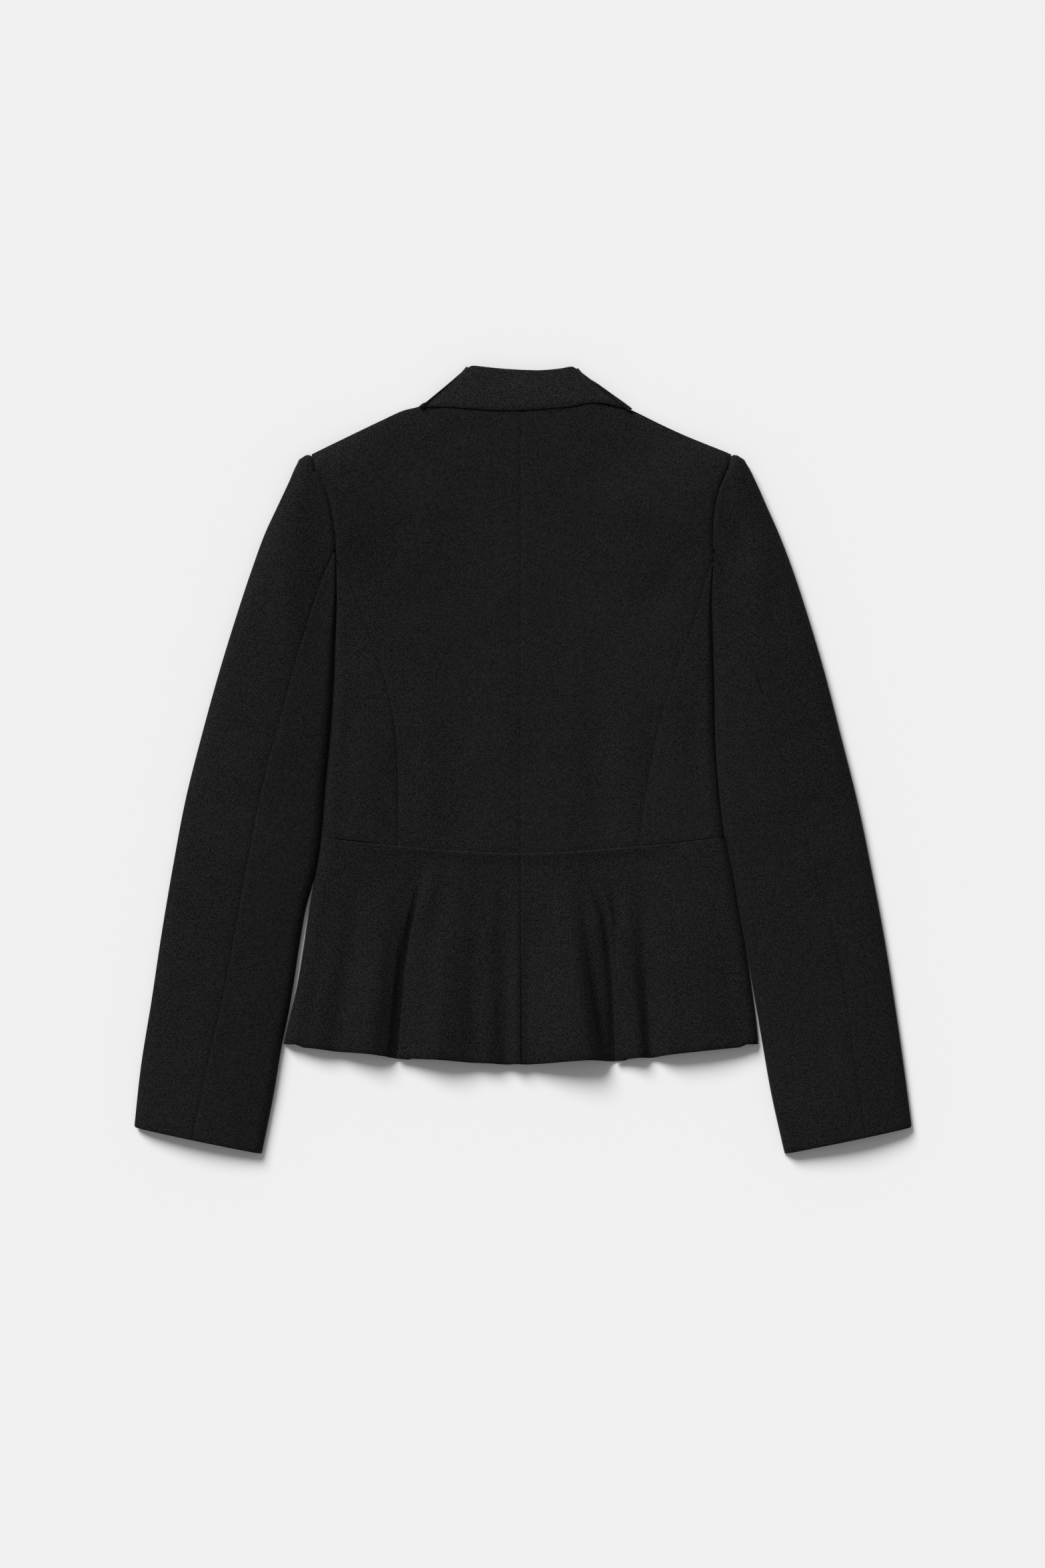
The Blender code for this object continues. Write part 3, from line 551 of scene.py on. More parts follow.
body_wool = wool("body_wool", 0.0024, 0.0174)
SIDES = ((-1, "left"), (1, "right"))
for side, word in SIDES:
    rows = back(side)
    turns = (SEAM_TURN, (0.45, 2.5), RIGHT_SEAM_TURN, (armhole_depth, 4.0))
    panel = wool_piece(f"back_{word}_panel", rows, turns, BACK_CREASES)
    dress(panel, f"back_{word}", rows, body_wool)

# Side panels: one at each side, sewn to the back at the princess seam. Each goes round the body's side and
# ends underneath, at the side seam, so that its fold at the side is round and soft.
SIDE_SEAM_IN = 22.0  # the side seams lie this far in, underneath
SIDE_TOP_Y = 176.0
GROOVE = 0.12  # height, as a share of the cloth's, at which the body's side and the sleeve touch
UNDER_FOLDS = (
    (-130, 120, -60, 40, 12, 0.8),
    (120, 110, 56, 30, 13, 0.7),
    (-150, -20, -70, -60, 10, 0.9),
    (146, -10, 74, -62, 11, 0.8),
    (-60, -120, -90, -240, 9, 0.8),
    (66, -110, 96, -236, 10, 0.9),
    (-10, -130, -34, -230, 8, 0.6),
)


def edge_round(y):
    """Width of the upper round at the body's side, which starts at the armhole's foot."""
    return mix(1.4, 8.0, ease((ARMHOLE_FOOT_Y - y) / 110)) + 4.0 * ease((100 - y) / 90)


def side_seam(side, y):
    """Point of the side seam underneath."""
    edge = lookup(BODY_EDGE, y, side_column(side))
    return plan(side * (edge - mix(2.6, SIDE_SEAM_IN, ease((ARMHOLE_FOOT_Y - y) / 60))), y)


def round_the_side(side, top, edge, under, height, width, steps):
    """Row of points from a seam on top, round the side, to a seam underneath. Steps counts those on top."""
    middle = GROOVE * height(0)
    arc_x = edge.x - side * width
    row = []
    for t in np.linspace(0, 1, steps, endpoint=False):
        row.append(Vector((mix(top.x, arc_x, t), mix(top.y, edge.y, t), height(1 - t))))
    for turn in range(90, 0, -9):
        angle = math.radians(turn)
        rise = (height(0) - middle) * math.sin(angle)
        row.append(Vector((arc_x + side * width * math.cos(angle), edge.y, middle + rise)))
    low = min(4.0, width)
    for turn in range(0, 91, 10):
        angle = math.radians(turn)
        x = edge.x - side * low * (1 - math.cos(angle))
        row.append(Vector((x, edge.y, middle * (1 - math.sin(angle)))))
    start = edge.x - side * low
    for t in (0.2, 0.4, 0.6, 0.8, 0.93, 1.0):
        row.append(Vector((mix(start, under.x, t), mix(edge.y, under.y, t), 0.0)))
    return row


def side_panel(side):
    """Grid of a side panel, from the princess seam round the side to the side seam underneath."""
    column = side_column(side)
    inset = SEAM / 2
    low_y = waist_y(WAIST_SIDE) + inset
    grid = []
    for y in finer([SIDE_TOP_Y, WAIST_END_Y]):
        y_edge = y if y > -38 else mix(-38, low_y, share(y, -38, WAIST_END_Y))
        top = plan(side * (lookup(PRINCESS_SEAM, y, column) + inset), y)
        edge = plan(side * (lookup(BODY_EDGE, y_edge, column) - inset), y_edge)
        under = side_seam(side, y_edge) + plan(side * inset, 0)

        def height(t):
            return top_height(side, mix(edge.x, top.x, t), mix(edge.y, top.y, t))

        width = min(edge_round(y_edge), 0.5 * abs(edge.x - top.x))
        grid.append(round_the_side(side, top, edge, under, height, width, 20))
    return grid


for side, word in SIDES:
    rows = side_panel(side)
    seam_turn = SEAM_TURN if side < 0 else RIGHT_SEAM_TURN
    turns = (NO_TURN, (0.45, 2.5), seam_turn, SEAM_TURN)
    panel = wool_piece(f"side_{word}_panel", rows, turns, BACK_CREASES, check=(0.6, 0.1))
    dress(panel, f"side_{word}", rows, body_wool)

# Fronts: two panels that lie underneath, face down on the table. They meet edge to edge at the centre below
# the break, and above it each front's edge is turned out along the roll line as a lapel.
LIFT = 2.1  # what lies over a lapel or over the collar is this much higher
BREAK_Y = -40.0  # where the lapels start to turn
GORGE_Y = 262.0  # where the lapels meet the collar
ROLL_TOP = 39.5  # from the centre to the roll line at the gorge
FRONT_TOP = 1.2  # the front's upper edge lies this much in from the shoulder's edge
# y on the roll line, then the lapel's outer edge as distance from the centre and y
LAPEL = (
    (-34, 7.5, -33.0),
    (-10, 20.0, -4.0),
    (30, 36.0, 40.0),
    (75, 52.0, 88.0),
    (120, 66.0, 133.0),
    (165, 79.0, 176.0),
    (210, 90.0, 214.0),
    (261.6, 98.0, 238.0),
)


def lapel_edge(y):
    """Distance of the lapel's outer edge from the centre."""
    rows = [(row[2], row[1]) for row in LAPEL]
    return lookup(rows, max(y, LAPEL[0][2]), 1)


def lifted(away, y):
    """How much of LIFT the front has: 1 over the collar and over the lapel, 0 outside them."""
    if y > 262:
        edge = 86.0
    elif y > 238:
        edge = mix(98.0, 88.0, (y - 238) / 24)
    else:
        edge = lapel_edge(y)
    return (1 - ease((away - edge - 13) / 18)) * ease((y + 68) / 20)


def low_height(side, x, y):
    """Height of the front's lower face."""
    away = abs(x - CENTRE)
    low = LIFT * lifted(away, y)
    middle = shoulder_middle(away)
    width = mix(4.0, 9.0, ease((away - 92) / 60))
    return middle - (middle - low) * rounded(shoulder_inside(side, x, y), width)


def roll_away(y):
    """Distance of the lapel's roll line from the centre."""
    return mix(2.6, ROLL_TOP, share(y, BREAK_Y, GORGE_Y))


def front(side):
    """Grid of a front: from the shoulder, armhole and side seam to the neck, the roll line and the centre."""
    column = side_column(side)
    inset = SEAM / 2
    tip_away = lookup(BODY_EDGE, TIP_Y, column) + side * -CENTRE
    end_y = waist_y(WAIST_SIDE) + inset

    def top(s):
        away = mix(NECK_SIDE, tip_away, s)
        return plan(CENTRE + side * away, shoulder_y(side, away) - FRONT_TOP)

    def bottom(s):
        x = CENTRE + side * mix(inset, abs(outer(1).x - CENTRE), s)
        return plan(x, waist_y(x) + inset)

    def inner(t):
        neck_y = shoulder_y(side, NECK_SIDE)
        y = mix(neck_y - FRONT_TOP, WAIST_CENTRE_Y + inset, t)
        if y > GORGE_Y:
            away = mix(43.9 + SEAM, NECK_SIDE, share(y, GORGE_Y, neck_y))
        elif y > BREAK_Y:
            away = roll_away(y) + 4.0 + SEAM
        else:
            away = mix(inset, 7.2, ease((y + 62) / 12))
        return plan(CENTRE + side * away, y)

    def outer(t):
        y = mix(TIP_Y - 0.4, end_y, t)
        if y >= ARMHOLE_FOOT_Y:
            return plan(side * (lookup(BODY_EDGE, y, column) - inset), y)
        spot = side_seam(side, min(y, 172.5))
        return plan(spot.x - side * inset, y)

    grid = []
    for y in finer([TIP_Y, GORGE_Y, ARMHOLE_FOOT_Y, 0.0, end_y], 5.0):
        row = []
        for away in finer([NECK_SIDE, tip_away], 4.0):
            across = share(away, NECK_SIDE, tip_away)
            spot = blended(top, bottom, inner, outer, across, share(y, TIP_Y, end_y))
            row.append(Vector((spot.x, spot.y, low_height(side, spot.x, spot.y))))
        grid.append(row)
    return grid


under_wool = wool("under_wool", 0.0022, 0.0164)
for side, word in SIDES:
    rows = front(side)
    turns = (NO_TURN,) * 4
    panel = wool_piece(f"front_{word}_panel", rows, turns, UNDER_FOLDS, check=(0.6, 0.5), faces_up=False)
    dress(panel, f"front_{word}", rows, under_wool)

# Lapels: the edges of the fronts, turned out along the roll line and pressed, so that here they lie under the
# fronts. Each ends at the notch, next to the collar.


def lapel(side):
    """Grid of a lapel: from under the front, round the roll line, to its outer edge."""
    radius = (LIFT + CLOTH) / 2
    grid = []
    for y in finer([row[0] for row in LAPEL], 5.0):
        away = roll_away(y)
        roll_x = CENTRE + side * away
        edge = plan(CENTRE + side * lookup(LAPEL, y, 1), lookup(LAPEL, y, 2))
        row = [Vector((CENTRE + side * (away + 4.0), y, 2 * radius))]
        for step in range(0, 181, 20):
            angle = math.radians(step)
            x = roll_x + side * radius * (1 - math.sin(angle))
            row.append(Vector((x, y, radius * (1 + math.cos(angle)))))
        start = plan(roll_x + side * radius, y)
        row += [Vector((*start.lerp(edge, t), 0.0)) for t in np.linspace(0, 1, 22)[1:]]
        grid.append(row)
    return grid


# Collar and lapels: the same flannel as the body, with lighter shades painted in for the extra light that the
# collar catches (painted light), and a little more sheen.
collar_wool_painted_lighter = wool("collar_wool_painted_lighter", 0.0036, 0.0236, sheen=0.24, turned=45)
for side, word in SIDES:
    rows = lapel(side)
    turns = (NO_TURN, NO_TURN, NO_TURN, HEM_TURN)
    piece = wool_piece(f"lapel_{word}_revers", rows, turns, check=(0.5, 0.8), faces_up=False)
    dress(piece, f"lapel_{word}", rows, collar_wool_painted_lighter)

# Collar: one strip of the same cloth, cut on the cross, sewn to the neck and turned over at its roll line.
# It goes round the neck's sides and ends underneath at the lapels.
# turn in degrees, then neck, roll and edge as distance from the centre and y, at the left and at the right
COLLAR = (
    (90, (0, 316.0), (0, 344.6), (0, 308.8), (0, 316.0), (0, 344.6), (0, 308.8)),
    (90, (20, 316.2), (16, 345.6), (22, 308.9), (20, 316.3), (17, 344.2), (22, 310.2)),
    (90, (40, 316.8), (32, 347.2), (44, 310.2), (40, 317.1), (34, 345.6), (43, 312.0)),
    (90, (58, 317.4), (42, 348.2), (66, 312.0), (58, 317.8), (45, 347.4), (68, 315.6)),
    (90, (71, 317.8), (46.6, 346.6), (87.2, 311.6), (72, 318.2), (49.4, 345.4), (95.6, 310.0)),
    (60, (71.4, 318.2), (46.6, 346.6), (87.2, 311.6), (72.4, 318.6), (49.4, 345.4), (96.0, 309.4)),
    (30, (71.6, 318.2), (46.6, 346.6), (87.2, 311.5), (72.6, 318.6), (49.4, 345.4), (96.2, 309.0)),
    (0, (71.6, 318.0), (46.6, 346.6), (87.2, 311.4), (72.6, 318.4), (49.4, 345.4), (96.2, 308.6)),
    (-30, (71.6, 317.6), (46.6, 346.6), (87.2, 311.2), (72.6, 318.0), (49.4, 345.4), (96.2, 308.2)),
    (-60, (71.4, 317.2), (46.6, 346.6), (87.2, 311.0), (72.4, 317.6), (49.4, 345.4), (96.0, 307.8)),
    (-90, (71.0, 316.4), (46.4, 346.0), (87.4, 310.6), (72.0, 316.8), (49.2, 344.8), (95.8, 307.2)),
    (-90, (66.0, 305.0), (45.4, 334.0), (89.2, 302.0), (66.6, 305.0), (47.4, 334.0), (94.6, 300.0)),
    (-90, (58.0, 290.0), (43.4, 308.0), (90.0, 290.0), (58.4, 290.0), (44.6, 308.0), (92.8, 289.0)),
    (-90, (50.0, 276.0), (41.2, 284.0), (89.0, 279.0), (50.2, 276.0), (41.8, 284.0), (90.0, 278.4)),
    (-90, (43.9, 264.2), (39.8, 264.4), (87.0, 270.0), (43.9, 264.2), (39.8, 264.4), (87.4, 270.0)),
)
STAND = 0.9  # height of the stand's outer face over the neck's middle
FALL = 4.6  # the same for the part that is turned over
END_HEIGHT = 0.5  # the collar is pressed flatter at the neck's sides, by this share
ROLL_BULGE = 0.4  # how far the fall stands out sideways where the collar goes round the neck's sides
COLLAR_FINE = 6  # grid lines to each station of the table
COLLAR_FOLDS = (
    (-58, 334, -50, 312, 8, -0.5),
    (56, 334, 64, 313, 8, -0.6),
    (-30, 326, 26, 327, 7, 0.35),
)


def turned_strip(turn, neck, roll, edge, flat):
    """Section of the collar: the stand from the neck, round the roll, and the fall to its edge.

    Flat is the share of its full height that it has here.
    Turn is 90 on top, -90 underneath and between them where the strip goes round the neck's side.
    """
    angle = math.radians(turn)
    along = (roll - neck).normalized()
    out = Vector((-along.y, along.x)) if along.x > 0 else Vector((along.y, -along.x))
    out = Vector((out.x, out.y, 0)) * ROLL_BULGE * math.cos(angle) + Vector((0, 0, 1)) * math.sin(angle)
    radius = (FALL - STAND) / 2
    start = roll - along * radius

    def place(spot, away):
        return Vector((spot.x, spot.y, NECK_MIDDLE)) + out * away * flat

    row = [place(neck.lerp(start, t), STAND) for t in np.linspace(0, 1, 10, endpoint=False)]
    for step in range(0, 181, 15):
        a = math.radians(step)
        row.append(place(start + along * radius * math.sin(a), STAND + radius * (1 - math.cos(a))))
    row += [place(start.lerp(edge, t), FALL) for t in (*np.linspace(0, 0.92, 14)[1:], 0.95, 0.98, 1.0)]
    return row


def collar():
    """Grid of the collar from one front, round the neck, to the other."""
    grid = []
    last = len(COLLAR) - 1
    for side, first in ((-1, 1), (1, 4)):
        half = []
        table = []
        for i, station in enumerate(COLLAR):
            table.append((i, station[0], *station[first], *station[first + 1], *station[first + 2]))
        for i in range(last * COLLAR_FINE + 1):
            at = i / COLLAR_FINE
            turn, *spots = (lookup(table, at, column) for column in range(1, 8))
            neck, roll, edge = (plan(CENTRE + side * spots[k], spots[k + 1]) for k in (0, 2, 4))
            if turn > 89:
                neck = neck + plan(0, SEAM)
            half.append(turned_strip(turn, neck, roll, edge, mix(1, END_HEIGHT, ease((at - 2.4) / 1.8))))
        grid += half[::-1] if side < 0 else half[1:]
    return grid


rows = collar()
turns = (NO_TURN, NO_TURN, NO_TURN, (1.0, 6.0))
piece = wool_piece("collar_strip", rows, turns, COLLAR_FOLDS, check=(0.5, 0.8))
dress(piece, "collar", rows, collar_wool_painted_lighter)

# Sleeves: two pieces each, a top sleeve and a narrower under sleeve, sewn at the elbow seam that shows and at
# a forearm seam underneath. The head is eased into the armhole, so it stands up a little over the seam.
# y, left, right: the sleeves' inner edge
SLEEVE_INNER = (
    (-69, 178.3, 178.4),
    (-97, 182.6, 184.6),
    (-112, 186.6, 187.6),
    (-130, 191.6, 190.8),
    (-165, 197.8, 197.2),
    (-200, 203.2, 203.2),
    (-225, 207.6, 207.6),
    (-251, 213.0, 212.0),
    (-295, 220.4, 219.8),
    (-348, 231.0, 231.6),
)
# y, left, right: the sleeves' outer edge
SLEEVE_OUTER = (
    (270.6, 187.0, 184.5),
    (268.3, 194.0, 191.5),
    (260, 200.2, 198.6),
    (247, 206.0, 205.3),
    (224, 216.8, 215.6),
    (200, 228.0, 226.3),
    (171, 238.7, 237.5),
    (141, 248.8, 247.6),
    (82, 267.2, 265.4),
    (23, 283.6, 280.7),
    (-35, 298.2, 295.3),
    (-94, 309.4, 307.6),
    (-153, 319.4, 318.8),
    (-212, 328.3, 328.3),
    (-271, 337.8, 336.8),
    (-324.5, 343.7, 343.9),
)
# y, left, right: the elbow seam of the sleeves
ELBOW_SEAM = (
    (186, 165.2, 167.6),
    (161, 176.7, 178.5),
    (134, 186.1, 189.0),
    (90, 199.7, 202.3),
    (50, 210.4, 214.4),
    (0, 224.2, 229.6),
    (-30, 231.4, 239.6),
    (-87, 242.4, 255.9),
    (-153, 254.6, 274.0),
    (-193, 261.9, 282.6),
    (-235, 270.7, 289.1),
    (-277, 280.3, 295.0),
    (-338, 292.5, 303.6),
)
CUFF_Y = -348.0
SLEEVE_FOLDS = (
    (-196, 222, -186, 168, 8, -0.9),
    (-214, 206, -206, 120, 9, 0.8),
    (196, 220, 186, 166, 8, -0.9),
    (214, 204, 208, 118, 9, 0.8),
    (-262, 30, -214, 14, 12, -0.9),
    (-268, -30, -212, -52, 13, -1.0),
    (-284, -60, -236, -96, 12, 0.7),
    (264, 26, 214, 8, 12, -0.9),
    (272, -34, 216, -58, 13, -1.0),
    (290, -70, 238, -100, 12, 0.7),
    (-306, -150, -262, -330, 15, 0.9),
    (308, -148, 266, -330, 15, 0.8),
    (-250, -180, -274, -320, 10, -0.7),
    (252, -182, 276, -322, 10, -0.7),
)


def sleeve_rows():
    """Y of each sleeve row at its inner end and at its outer end."""
    found = []
    for y in finer([TIP_Y - CAP_ROUND, 182.5, CUFF_Y], 4.0):
        found.append((y, mix(-324.5, TIP_Y, share(y, CUFF_Y, TIP_Y - CAP_ROUND))))
    return found


def sleeve_section(side, y_inner, y_outer):
    """What both sleeve pieces share in one row: its ends in plan, heights and where its seams are."""
    column = side_column(side)
    gap = SEAM / 2
    table = BODY_EDGE if y_inner > -69 else SLEEVE_INNER
    inner = plan(side * (lookup(table, y_inner, column) + gap), y_inner)
    outer = plan(side * lookup(SLEEVE_OUTER, y_outer, column), y_outer)
    length = (outer - inner).length
    at_seam = top_height(side, side * (lookup(BODY_EDGE, max(y_inner, 120), column) - 0.5), max(y_inner, 120))
    crown = mix(13.5, 10.5, ease(share(y_inner, 150, -348)))
    fraction = 0.0
    if y_inner < 186:
        for _ in range(12):
            spot = inner.lerp(outer, fraction)
            want = lookup(ELBOW_SEAM, spot.y, column)
            fraction += (want - abs(spot.x)) / abs(outer.x - inner.x)
    under = mix(0.0, 24.0, ease((188 - y_inner) / 60)) / length
    if y_inner < 183:
        fraction = max(fraction, 2.2 / length)
        under = max(under, 2.2 / length)
    outer_width = mix(15.0, 13.0, ease(share(y_inner, TIP_Y - CAP_ROUND, 60)))

    def height(f):
        """Upper face at a share of the way out, without its rounded edges."""
        crest = crown - 2.6 + 5.4 * math.sin(math.pi * min(max(f, 0), 1)) ** 0.9
        near = 1 - ease(f * length / 45)
        return mix(crest, mix(crest, at_seam, near), ease((y_inner - 60) / 60))

    return inner, outer, length, height, fraction, under, outer_width


def top_sleeve(side):
    """Grid from the armhole or the elbow seam, round the outer edge, to the forearm seam underneath."""
    grid = []
    for y_inner, y_outer in sleeve_rows():
        inner, outer, length, height, elbow, under, width = sleeve_section(side, y_inner, y_outer)
        gap = SEAM / 2 / length
        start = elbow + gap if elbow > 0.004 else 0.0
        edge = max(1 - width / length, 0.0)
        middle = mix(6.4, 0.42 * height(1), ease(share(y_inner, TIP_Y - CAP_ROUND, 150)))
        row = []
        for t in (0, 0.012, 0.03, *np.linspace(0.06, 0.96, 22)):
            f = mix(start, edge, t)
            row.append(Vector((*inner.lerp(outer, f), height(f))))
        for turn in range(90, -1, -9):
            angle = math.radians(turn)
            f = edge + min(width / length, 1.0) * math.cos(angle)
            row.append(Vector((*inner.lerp(outer, f), middle + (height(f) - middle) * math.sin(angle))))
        low = min(mix(9.0, 5.0, ease(share(y_inner, TIP_Y - CAP_ROUND, 150))), length * 0.6) / length
        for turn in range(9, 91, 9):
            angle = math.radians(turn)
            spot = inner.lerp(outer, 1 - low * (1 - math.cos(angle)))
            row.append(Vector((*spot, middle * (1 - math.sin(angle)))))
        end = under + gap if under > 0 else 0.0
        for t in np.linspace(0, 1, 16)[1:]:
            row.append(Vector((*inner.lerp(outer, mix(1 - low, end, t)), 0.0)))
        grid.append(row)
    return grid


def under_sleeve(side):
    """Grid from the elbow seam, round the inner edge, to the forearm seam underneath."""
    grid = []
    for y_inner, y_outer in sleeve_rows():
        if y_inner > 183:
            continue
        inner, outer, length, height, elbow, under, _ = sleeve_section(side, y_inner, y_outer)
        gap = SEAM / 2 / length
        start = elbow - gap
        wide = mix(1.2, 8.0, ease((184 - y_inner) / 110)) + 3.0 * ease((100 - y_inner) / 90)
        width = min(wide / length, start * 0.6)
        middle = GROOVE * height(0)
        row = []
        for t in (0, 0.02, 0.05, *np.linspace(0.1, 0.95, 14)):
            f = mix(start, width, t)
            row.append(Vector((*inner.lerp(outer, f), height(f))))
        for turn in range(90, -1, -9):
            angle = math.radians(turn)
            spot = inner.lerp(outer, width * (1 - math.cos(angle)))
            row.append(Vector((*spot, middle + (height(width) - middle) * math.sin(angle))))
        end = under - gap
        low = min(5.0 / length, end * 0.6)
        for turn in range(10, 91, 10):
            angle = math.radians(turn)
            spot = inner.lerp(outer, low * (1 - math.cos(angle)))
            row.append(Vector((*spot, middle * (1 - math.sin(angle)))))
        for t in (0.33, 0.67, 1.0):
            row.append(Vector((*inner.lerp(outer, mix(low, end, t)), 0.0)))
        grid.append(row)
    return grid


sleeve_wool = wool("sleeve_wool", 0.0023, 0.0164)
for side, word in SIDES:
    rows = top_sleeve(side)
    turns = ((armhole_depth, 4.0), HEM_TURN, (armhole_depth, 4.0), SEAM_TURN)
    piece = wool_piece(f"top_sleeve_{word}_piece", rows, turns, SLEEVE_FOLDS, check=(0.5, 0.1))
    dress(piece, f"top_sleeve_{word}", rows, sleeve_wool)
    rows = under_sleeve(side)
    turns = (NO_TURN, HEM_TURN, SEAM_TURN if side < 0 else RIGHT_SEAM_TURN, SEAM_TURN)
    piece = wool_piece(f"under_sleeve_{word}_piece", rows, turns, SLEEVE_FOLDS, check=(0.5, 0.1))
    dress(piece, f"under_sleeve_{word}", rows, sleeve_wool)

# Peplum back: one flared piece at each side, cut as part of a ring, so that it falls into folds below the
# waist seam. Each has one deep fold that laps over itself, and goes round the side to the seam underneath.
HEM_CENTRE_Y = -268.6
HEM_SIDE_Y = -251.0
FLARE = 1.17  # width of the hem over the width of the waist
FRONT_HEM_SHORT = 5.0
# place at the waist and at the hem (distance from the centre, to the left negative), height at the hem,
# and where the wave starts, from 0 at the waist to 1 at the hem: troughs and ridges of the peplum
WAVES_LEFT = (
    (-161, -192, 10.0, 0.0),
    (-150, -179, 11.6, 0.0),
    (-138, -163, 9.2, 0.0),
    (-124, -144, 14.2, 0.0),
    (-114, -132, 15.4, 0.0),
    (-106, -123, 12.0, 0.0),
    (-100, -117.4, 9.0, 0.0),
    "lap",
    (-66, -90, 12.4, 0.0),
    (-58, -75, 16.4, 0.0),
    (-48, -57, 14.4, 0.0),
    (-39, -41, 10.6, 0.2),
    (-27, -28, 12.0, 0.1),
    (-14, -11.4, 8.0, 0.45),
    (-5, -4, 11.6, 0.0),
    (0, 0, 11.8, 0.0),
)
WAVES_RIGHT = (
    (0, 0, 10.6, 0.0),
    (5, 5, 9.4, 0.0),
    (13, 15, 11.4, 0.0),
    (23, 29, 15.4, 0.0),
    (32, 44, 19.0, 0.0),
    (39, 62, 19.2, 0.0),
    (43, 70, 14.0, 0.0),
    (47, 75.4, 8.2, 0.0),
    "lap",
    (76, 95, 8.4, 0.0),
    (90, 105, 11.6, 0.0),
    (103, 115.6, 4.6, 0.0),
    (114, 128, 11.4, 0.0),
    (131, 150, 13.8, 0.0),
    (150, 176, 12.4, 0.0),
    (165, 194, 9.8, 0.0),
)
# share of the way to the hem, then the laps' creases as distance from the centre, left and right
LAP_CREASE = (
    (0.0, -76.0, 57.0),
    (0.165, -86.2, 65.8),
    (0.33, -94.8, 75.3),
    (0.48, -99.8, 78.6),
    (0.6, -102.6, 80.8),
    (0.8, -106.0, 82.6),
    (1.0, -109.2, 83.9),
)
# overlap at the hem, height of the under layer, where the overlap starts
LAP_LEFT = (9.4, 3.6, 0.16)
LAP_RIGHT = (7.6, 2.2, 0.13)
LAP_HALF = 6.0  # how much of a row the lap takes on each side of its crease
PEPLUM_ROWS = 52
HEM_MIDDLE = 10.5  # height at which the hem is as long as it was cut
HEM_SWING = 0.22  # shorter by this much for each millimetre over it, on a ridge, and longer in a trough
TUCK = 0.007  # the peplum's upper edge goes under the back by this share of its length
RIGHT_PRESS = 1.3  # the right side lies against its sleeve
WAIST_STEP = 1.4  # at the centre the peplum's edge stands this much over the back's
PEPLUM_STEPS = 6  # grid lines in each span of a row


def hem_y(x):
    return HEM_CENTRE_Y + 17.4 * min(abs(x - CENTRE) / 211.0, 1.0) ** 1.6


def lap_points(side, t, base):
    """The folded-over part of a peplum row: under layer, turn, middle layer, edge and upper layer."""
    overlap, low, start = LAP_LEFT if side < 0 else LAP_RIGHT
    x = lookup(LAP_CREASE, t, side_column(side))
    grown = ease(share(t, start - 0.04, start + 0.2))
    wide = max(overlap * share(t, start, 1.0), 1.0)
    floor = mix(base, low, ease(t * 1.9))
    folded = (
        (-LAP_HALF, 3.2),
        (-1.0, 0.1),
        (wide, 0.0),
        (wide + 0.5, 0.45),
        (wide, 0.9),
        (1.5, 1.0),
        (0.0, 1.9),
        (1.0, 3.0),
        (LAP_HALF, 4.6),
    )
    found = []
    last = len(folded) - 1
    for i, (along, up) in enumerate(folded):
        flat_x = LAP_HALF * (2 * i / last - 1)
        flat_up = folded[-1][1] * ease(i / last) * ease(t * 3)
        found.append((x + mix(flat_x, along, grown), floor + mix(flat_up, up, grown)))
    return found


def peplum_row(side, t):
    """Control points (x, z) of a peplum row's top, at a share of the way from the waist to the hem."""
    found = []
    for wave in WAVES_LEFT if side < 0 else WAVES_RIGHT:
        if wave == "lap":
            base = top_height(side, CENTRE + lookup(LAP_CREASE, 0, side_column(side)), -80)
            found += [(CENTRE + x, z) for x, z in lap_points(side, t, base)]
            continue
        waist_x, hem_x, height, start = wave
        base = top_height(side, CENTRE + waist_x, -80)
        found.append((CENTRE + mix(waist_x, hem_x, t), mix(base, height, ease(share(t, start * 0.6, 0.85)))))
    return found


def smooth_through(points, steps):
    """Points of a soft curve through control points, with the given number of steps in each span."""
    spots = [Vector(point) for point in points]
    lengths = [max((b - a).length, 0.01) for a, b in zip(spots, spots[1:])]
    ways = [(b - a) / length for a, b, length in zip(spots, spots[1:], lengths)]
    slopes = [ways[0]]
    for i in range(1, len(ways)):
        before, after = lengths[i - 1], lengths[i]
        slopes.append((ways[i - 1] * after + ways[i] * before) / (before + after))
    slopes.append(ways[-1])
    found = []
    for i, length in enumerate(lengths):
        for k in range(steps):
            t = k / steps
            spot = spots[i] * (2 * t**3 - 3 * t**2 + 1) + spots[i + 1] * (3 * t**2 - 2 * t**3)
            spot += (slopes[i] * (t**3 - 2 * t**2 + t) + slopes[i + 1] * (t**3 - t**2)) * length
            found.append(spot)
    return found + [spots[-1]]


def peplum_back(side):
    """Grid of the flared back from the centre seam round the side to the side seam underneath."""
    column = side_column(side)
    inset = SEAM / 2
    grid = []
    for down in (-TUCK, 0.0, 0.004, 0.01, *np.linspace(0.02, 1, PEPLUM_ROWS)):
        t = max(down, 0.0)
        spots = peplum_row(side, t)
        spots = spots[::-1] if side < 0 else spots
        spots[0] = (spots[0][0] + side * inset, spots[0][1])
        row = []
        for spot in smooth_through(spots, PEPLUM_STEPS):
            top = waist_y(spot.x / mix(1, FLARE, t)) - inset
            bottom = hem_y(spot.x) + HEM_SWING * (spot.y - HEM_MIDDLE)
            step = WAIST_STEP * (1 - ease((abs(spot.x) - 80) / 70))
            joined = top_height(side, spot.x, top) + step * (1 - ease(t * 20)) - (1.6 if down < 0 else 0.0)
            row.append(Vector((spot.x, mix(top, bottom, down), mix(joined, spot.y, ease(t * 7)))))
        y = mix(waist_y(WAIST_SIDE) - inset, HEM_SIDE_Y, t)
        press = RIGHT_PRESS * (1 - ease((-150 - y) / 60)) if side > 0 else 0.0
        edge = plan(side * (lookup(BODY_EDGE, y, column) + press), y)
        height = row[-1].z
        under = side_seam(side, y) + plan(side * inset, 0)
        last = row[-1]
        row += round_the_side(side, plan(last.x, last.y), edge, under, lambda f: height, 11.0, 6)[1:]
        grid.append(row)
    return grid


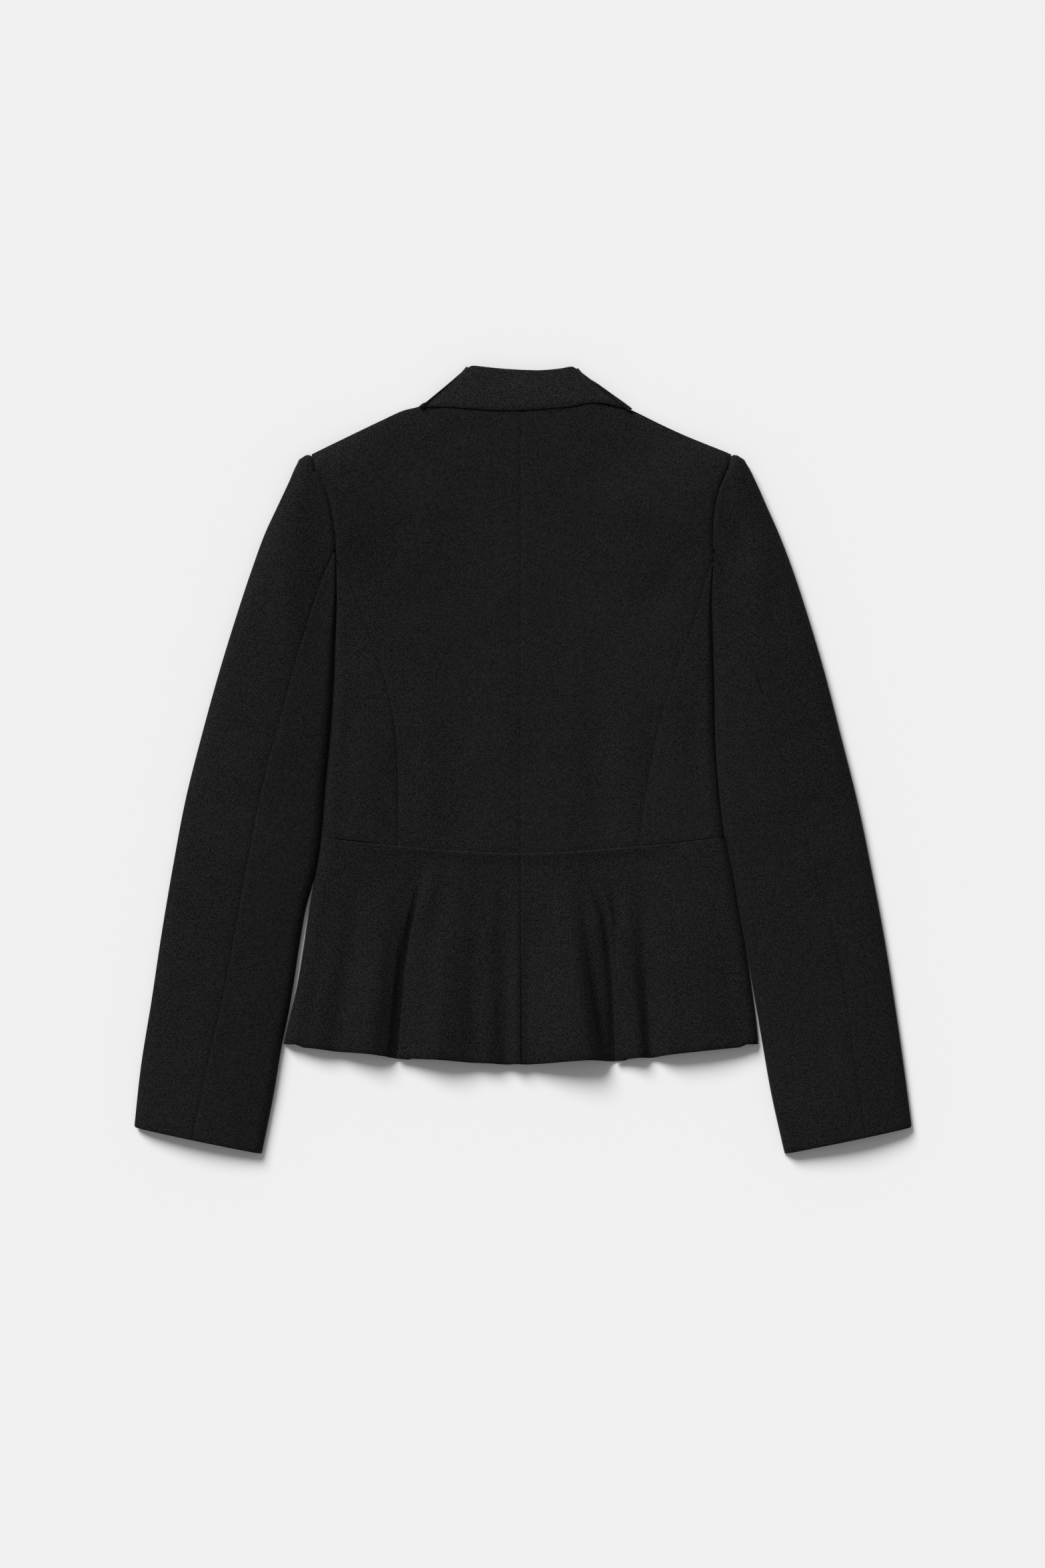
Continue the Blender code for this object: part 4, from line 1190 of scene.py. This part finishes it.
peplum_wool = wool("peplum_wool", 0.0023, 0.0168, turned=18)
for side, word in SIDES:
    rows = peplum_back(side)
    turns = (NO_TURN, HEM_TURN, (0.9, 3.5), SEAM_TURN)
    piece = wool_piece(f"peplum_back_{word}_flare", rows, turns, check=(0.02, 0.2))
    dress(piece, f"peplum_back_{word}", rows, peplum_wool)

# Peplum front: a plain flared piece at each side, which lies flat underneath. The two meet at the centre at
# the waist and part a little towards the hem.


def peplum_front(side):
    """Grid of the plain front from the centre to the side seam."""
    inset = SEAM / 2
    grid = []
    for t in np.linspace(0, 1, 40):
        y_side = mix(waist_y(WAIST_SIDE) - inset, HEM_SIDE_Y + FRONT_HEM_SHORT, t)
        outer = side_seam(side, y_side).x - side * 2 * SEAM
        inner = CENTRE + side * mix(inset, 5.0, t)
        row = []
        for s in np.linspace(0, 1, 46):
            x = mix(inner, outer, s)
            top = waist_y(x / mix(1, FLARE, t)) - inset
            bottom = hem_y(x * 1.08) + FRONT_HEM_SHORT
            bottom += 5.0 * (1 - ease(s * 7))
            row.append(Vector((x, mix(mix(top, bottom, t), y_side, ease(s * 7 - 6)), 0.0)))
        grid.append(row)
    return grid


for side, word in SIDES:
    rows = peplum_front(side)
    turns = (NO_TURN,) * 4
    piece = wool_piece(f"peplum_front_{word}_flare", rows, turns, UNDER_FOLDS, faces_up=False)
    dress(piece, f"peplum_front_{word}", rows, peplum_wool)

# Table, light and camera: a plain pale table top, seen from straight above. One soft light comes from the
# upper left, beyond the collar, and the pale room lights it from all round.
FLOOR_SHADE = (0.862, 0.862, 0.862)
VIEW_HEIGHT = 3.0
VIEW_CENTRE = (-0.0003, -0.0212)
PICTURE_HEIGHT = 1.3877  # how much of the table the picture shows, from top to bottom
FILM_HEIGHT = 36.0

bpy.ops.mesh.primitive_plane_add(size=12.0, location=(0, 0, -0.0006))
floor = bpy.context.object
floor.name = "floor"
table_top = bpy.data.materials.new("table_top")
table_top.use_nodes = True
surface = table_top.node_tree.nodes["Principled BSDF"]
surface.inputs["Base Color"].default_value = (*FLOOR_SHADE, 1)
surface.inputs["Roughness"].default_value = 0.85
surface.inputs["Specular IOR Level"].default_value = 0.2
floor.data.materials.append(table_top)


window = bpy.data.lights.new("window", "SUN")
window.energy = 4.15
window.angle = 0.5
lamp = bpy.data.objects.new("window", window)
lamp.rotation_euler = Vector((0.62, -1.0, -0.78)).to_track_quat("-Z", "Y").to_euler()
bpy.context.scene.collection.objects.link(lamp)
world = bpy.data.worlds.new("room")
world.use_nodes = True
world.node_tree.nodes["Background"].inputs["Color"].default_value = (1.0, 1.0, 1.0, 1)
world.node_tree.nodes["Background"].inputs["Strength"].default_value = 0.28
bpy.context.scene.world = world
bpy.context.scene.view_settings.view_transform = "Standard"

lens = bpy.data.cameras.new("camera")
lens.sensor_fit = "VERTICAL"
lens.sensor_height = FILM_HEIGHT
lens.lens = FILM_HEIGHT * VIEW_HEIGHT / PICTURE_HEIGHT
camera = bpy.data.objects.new("camera", lens)
camera.location = (*VIEW_CENTRE, VIEW_HEIGHT)
bpy.context.scene.collection.objects.link(camera)
bpy.context.scene.camera = camera
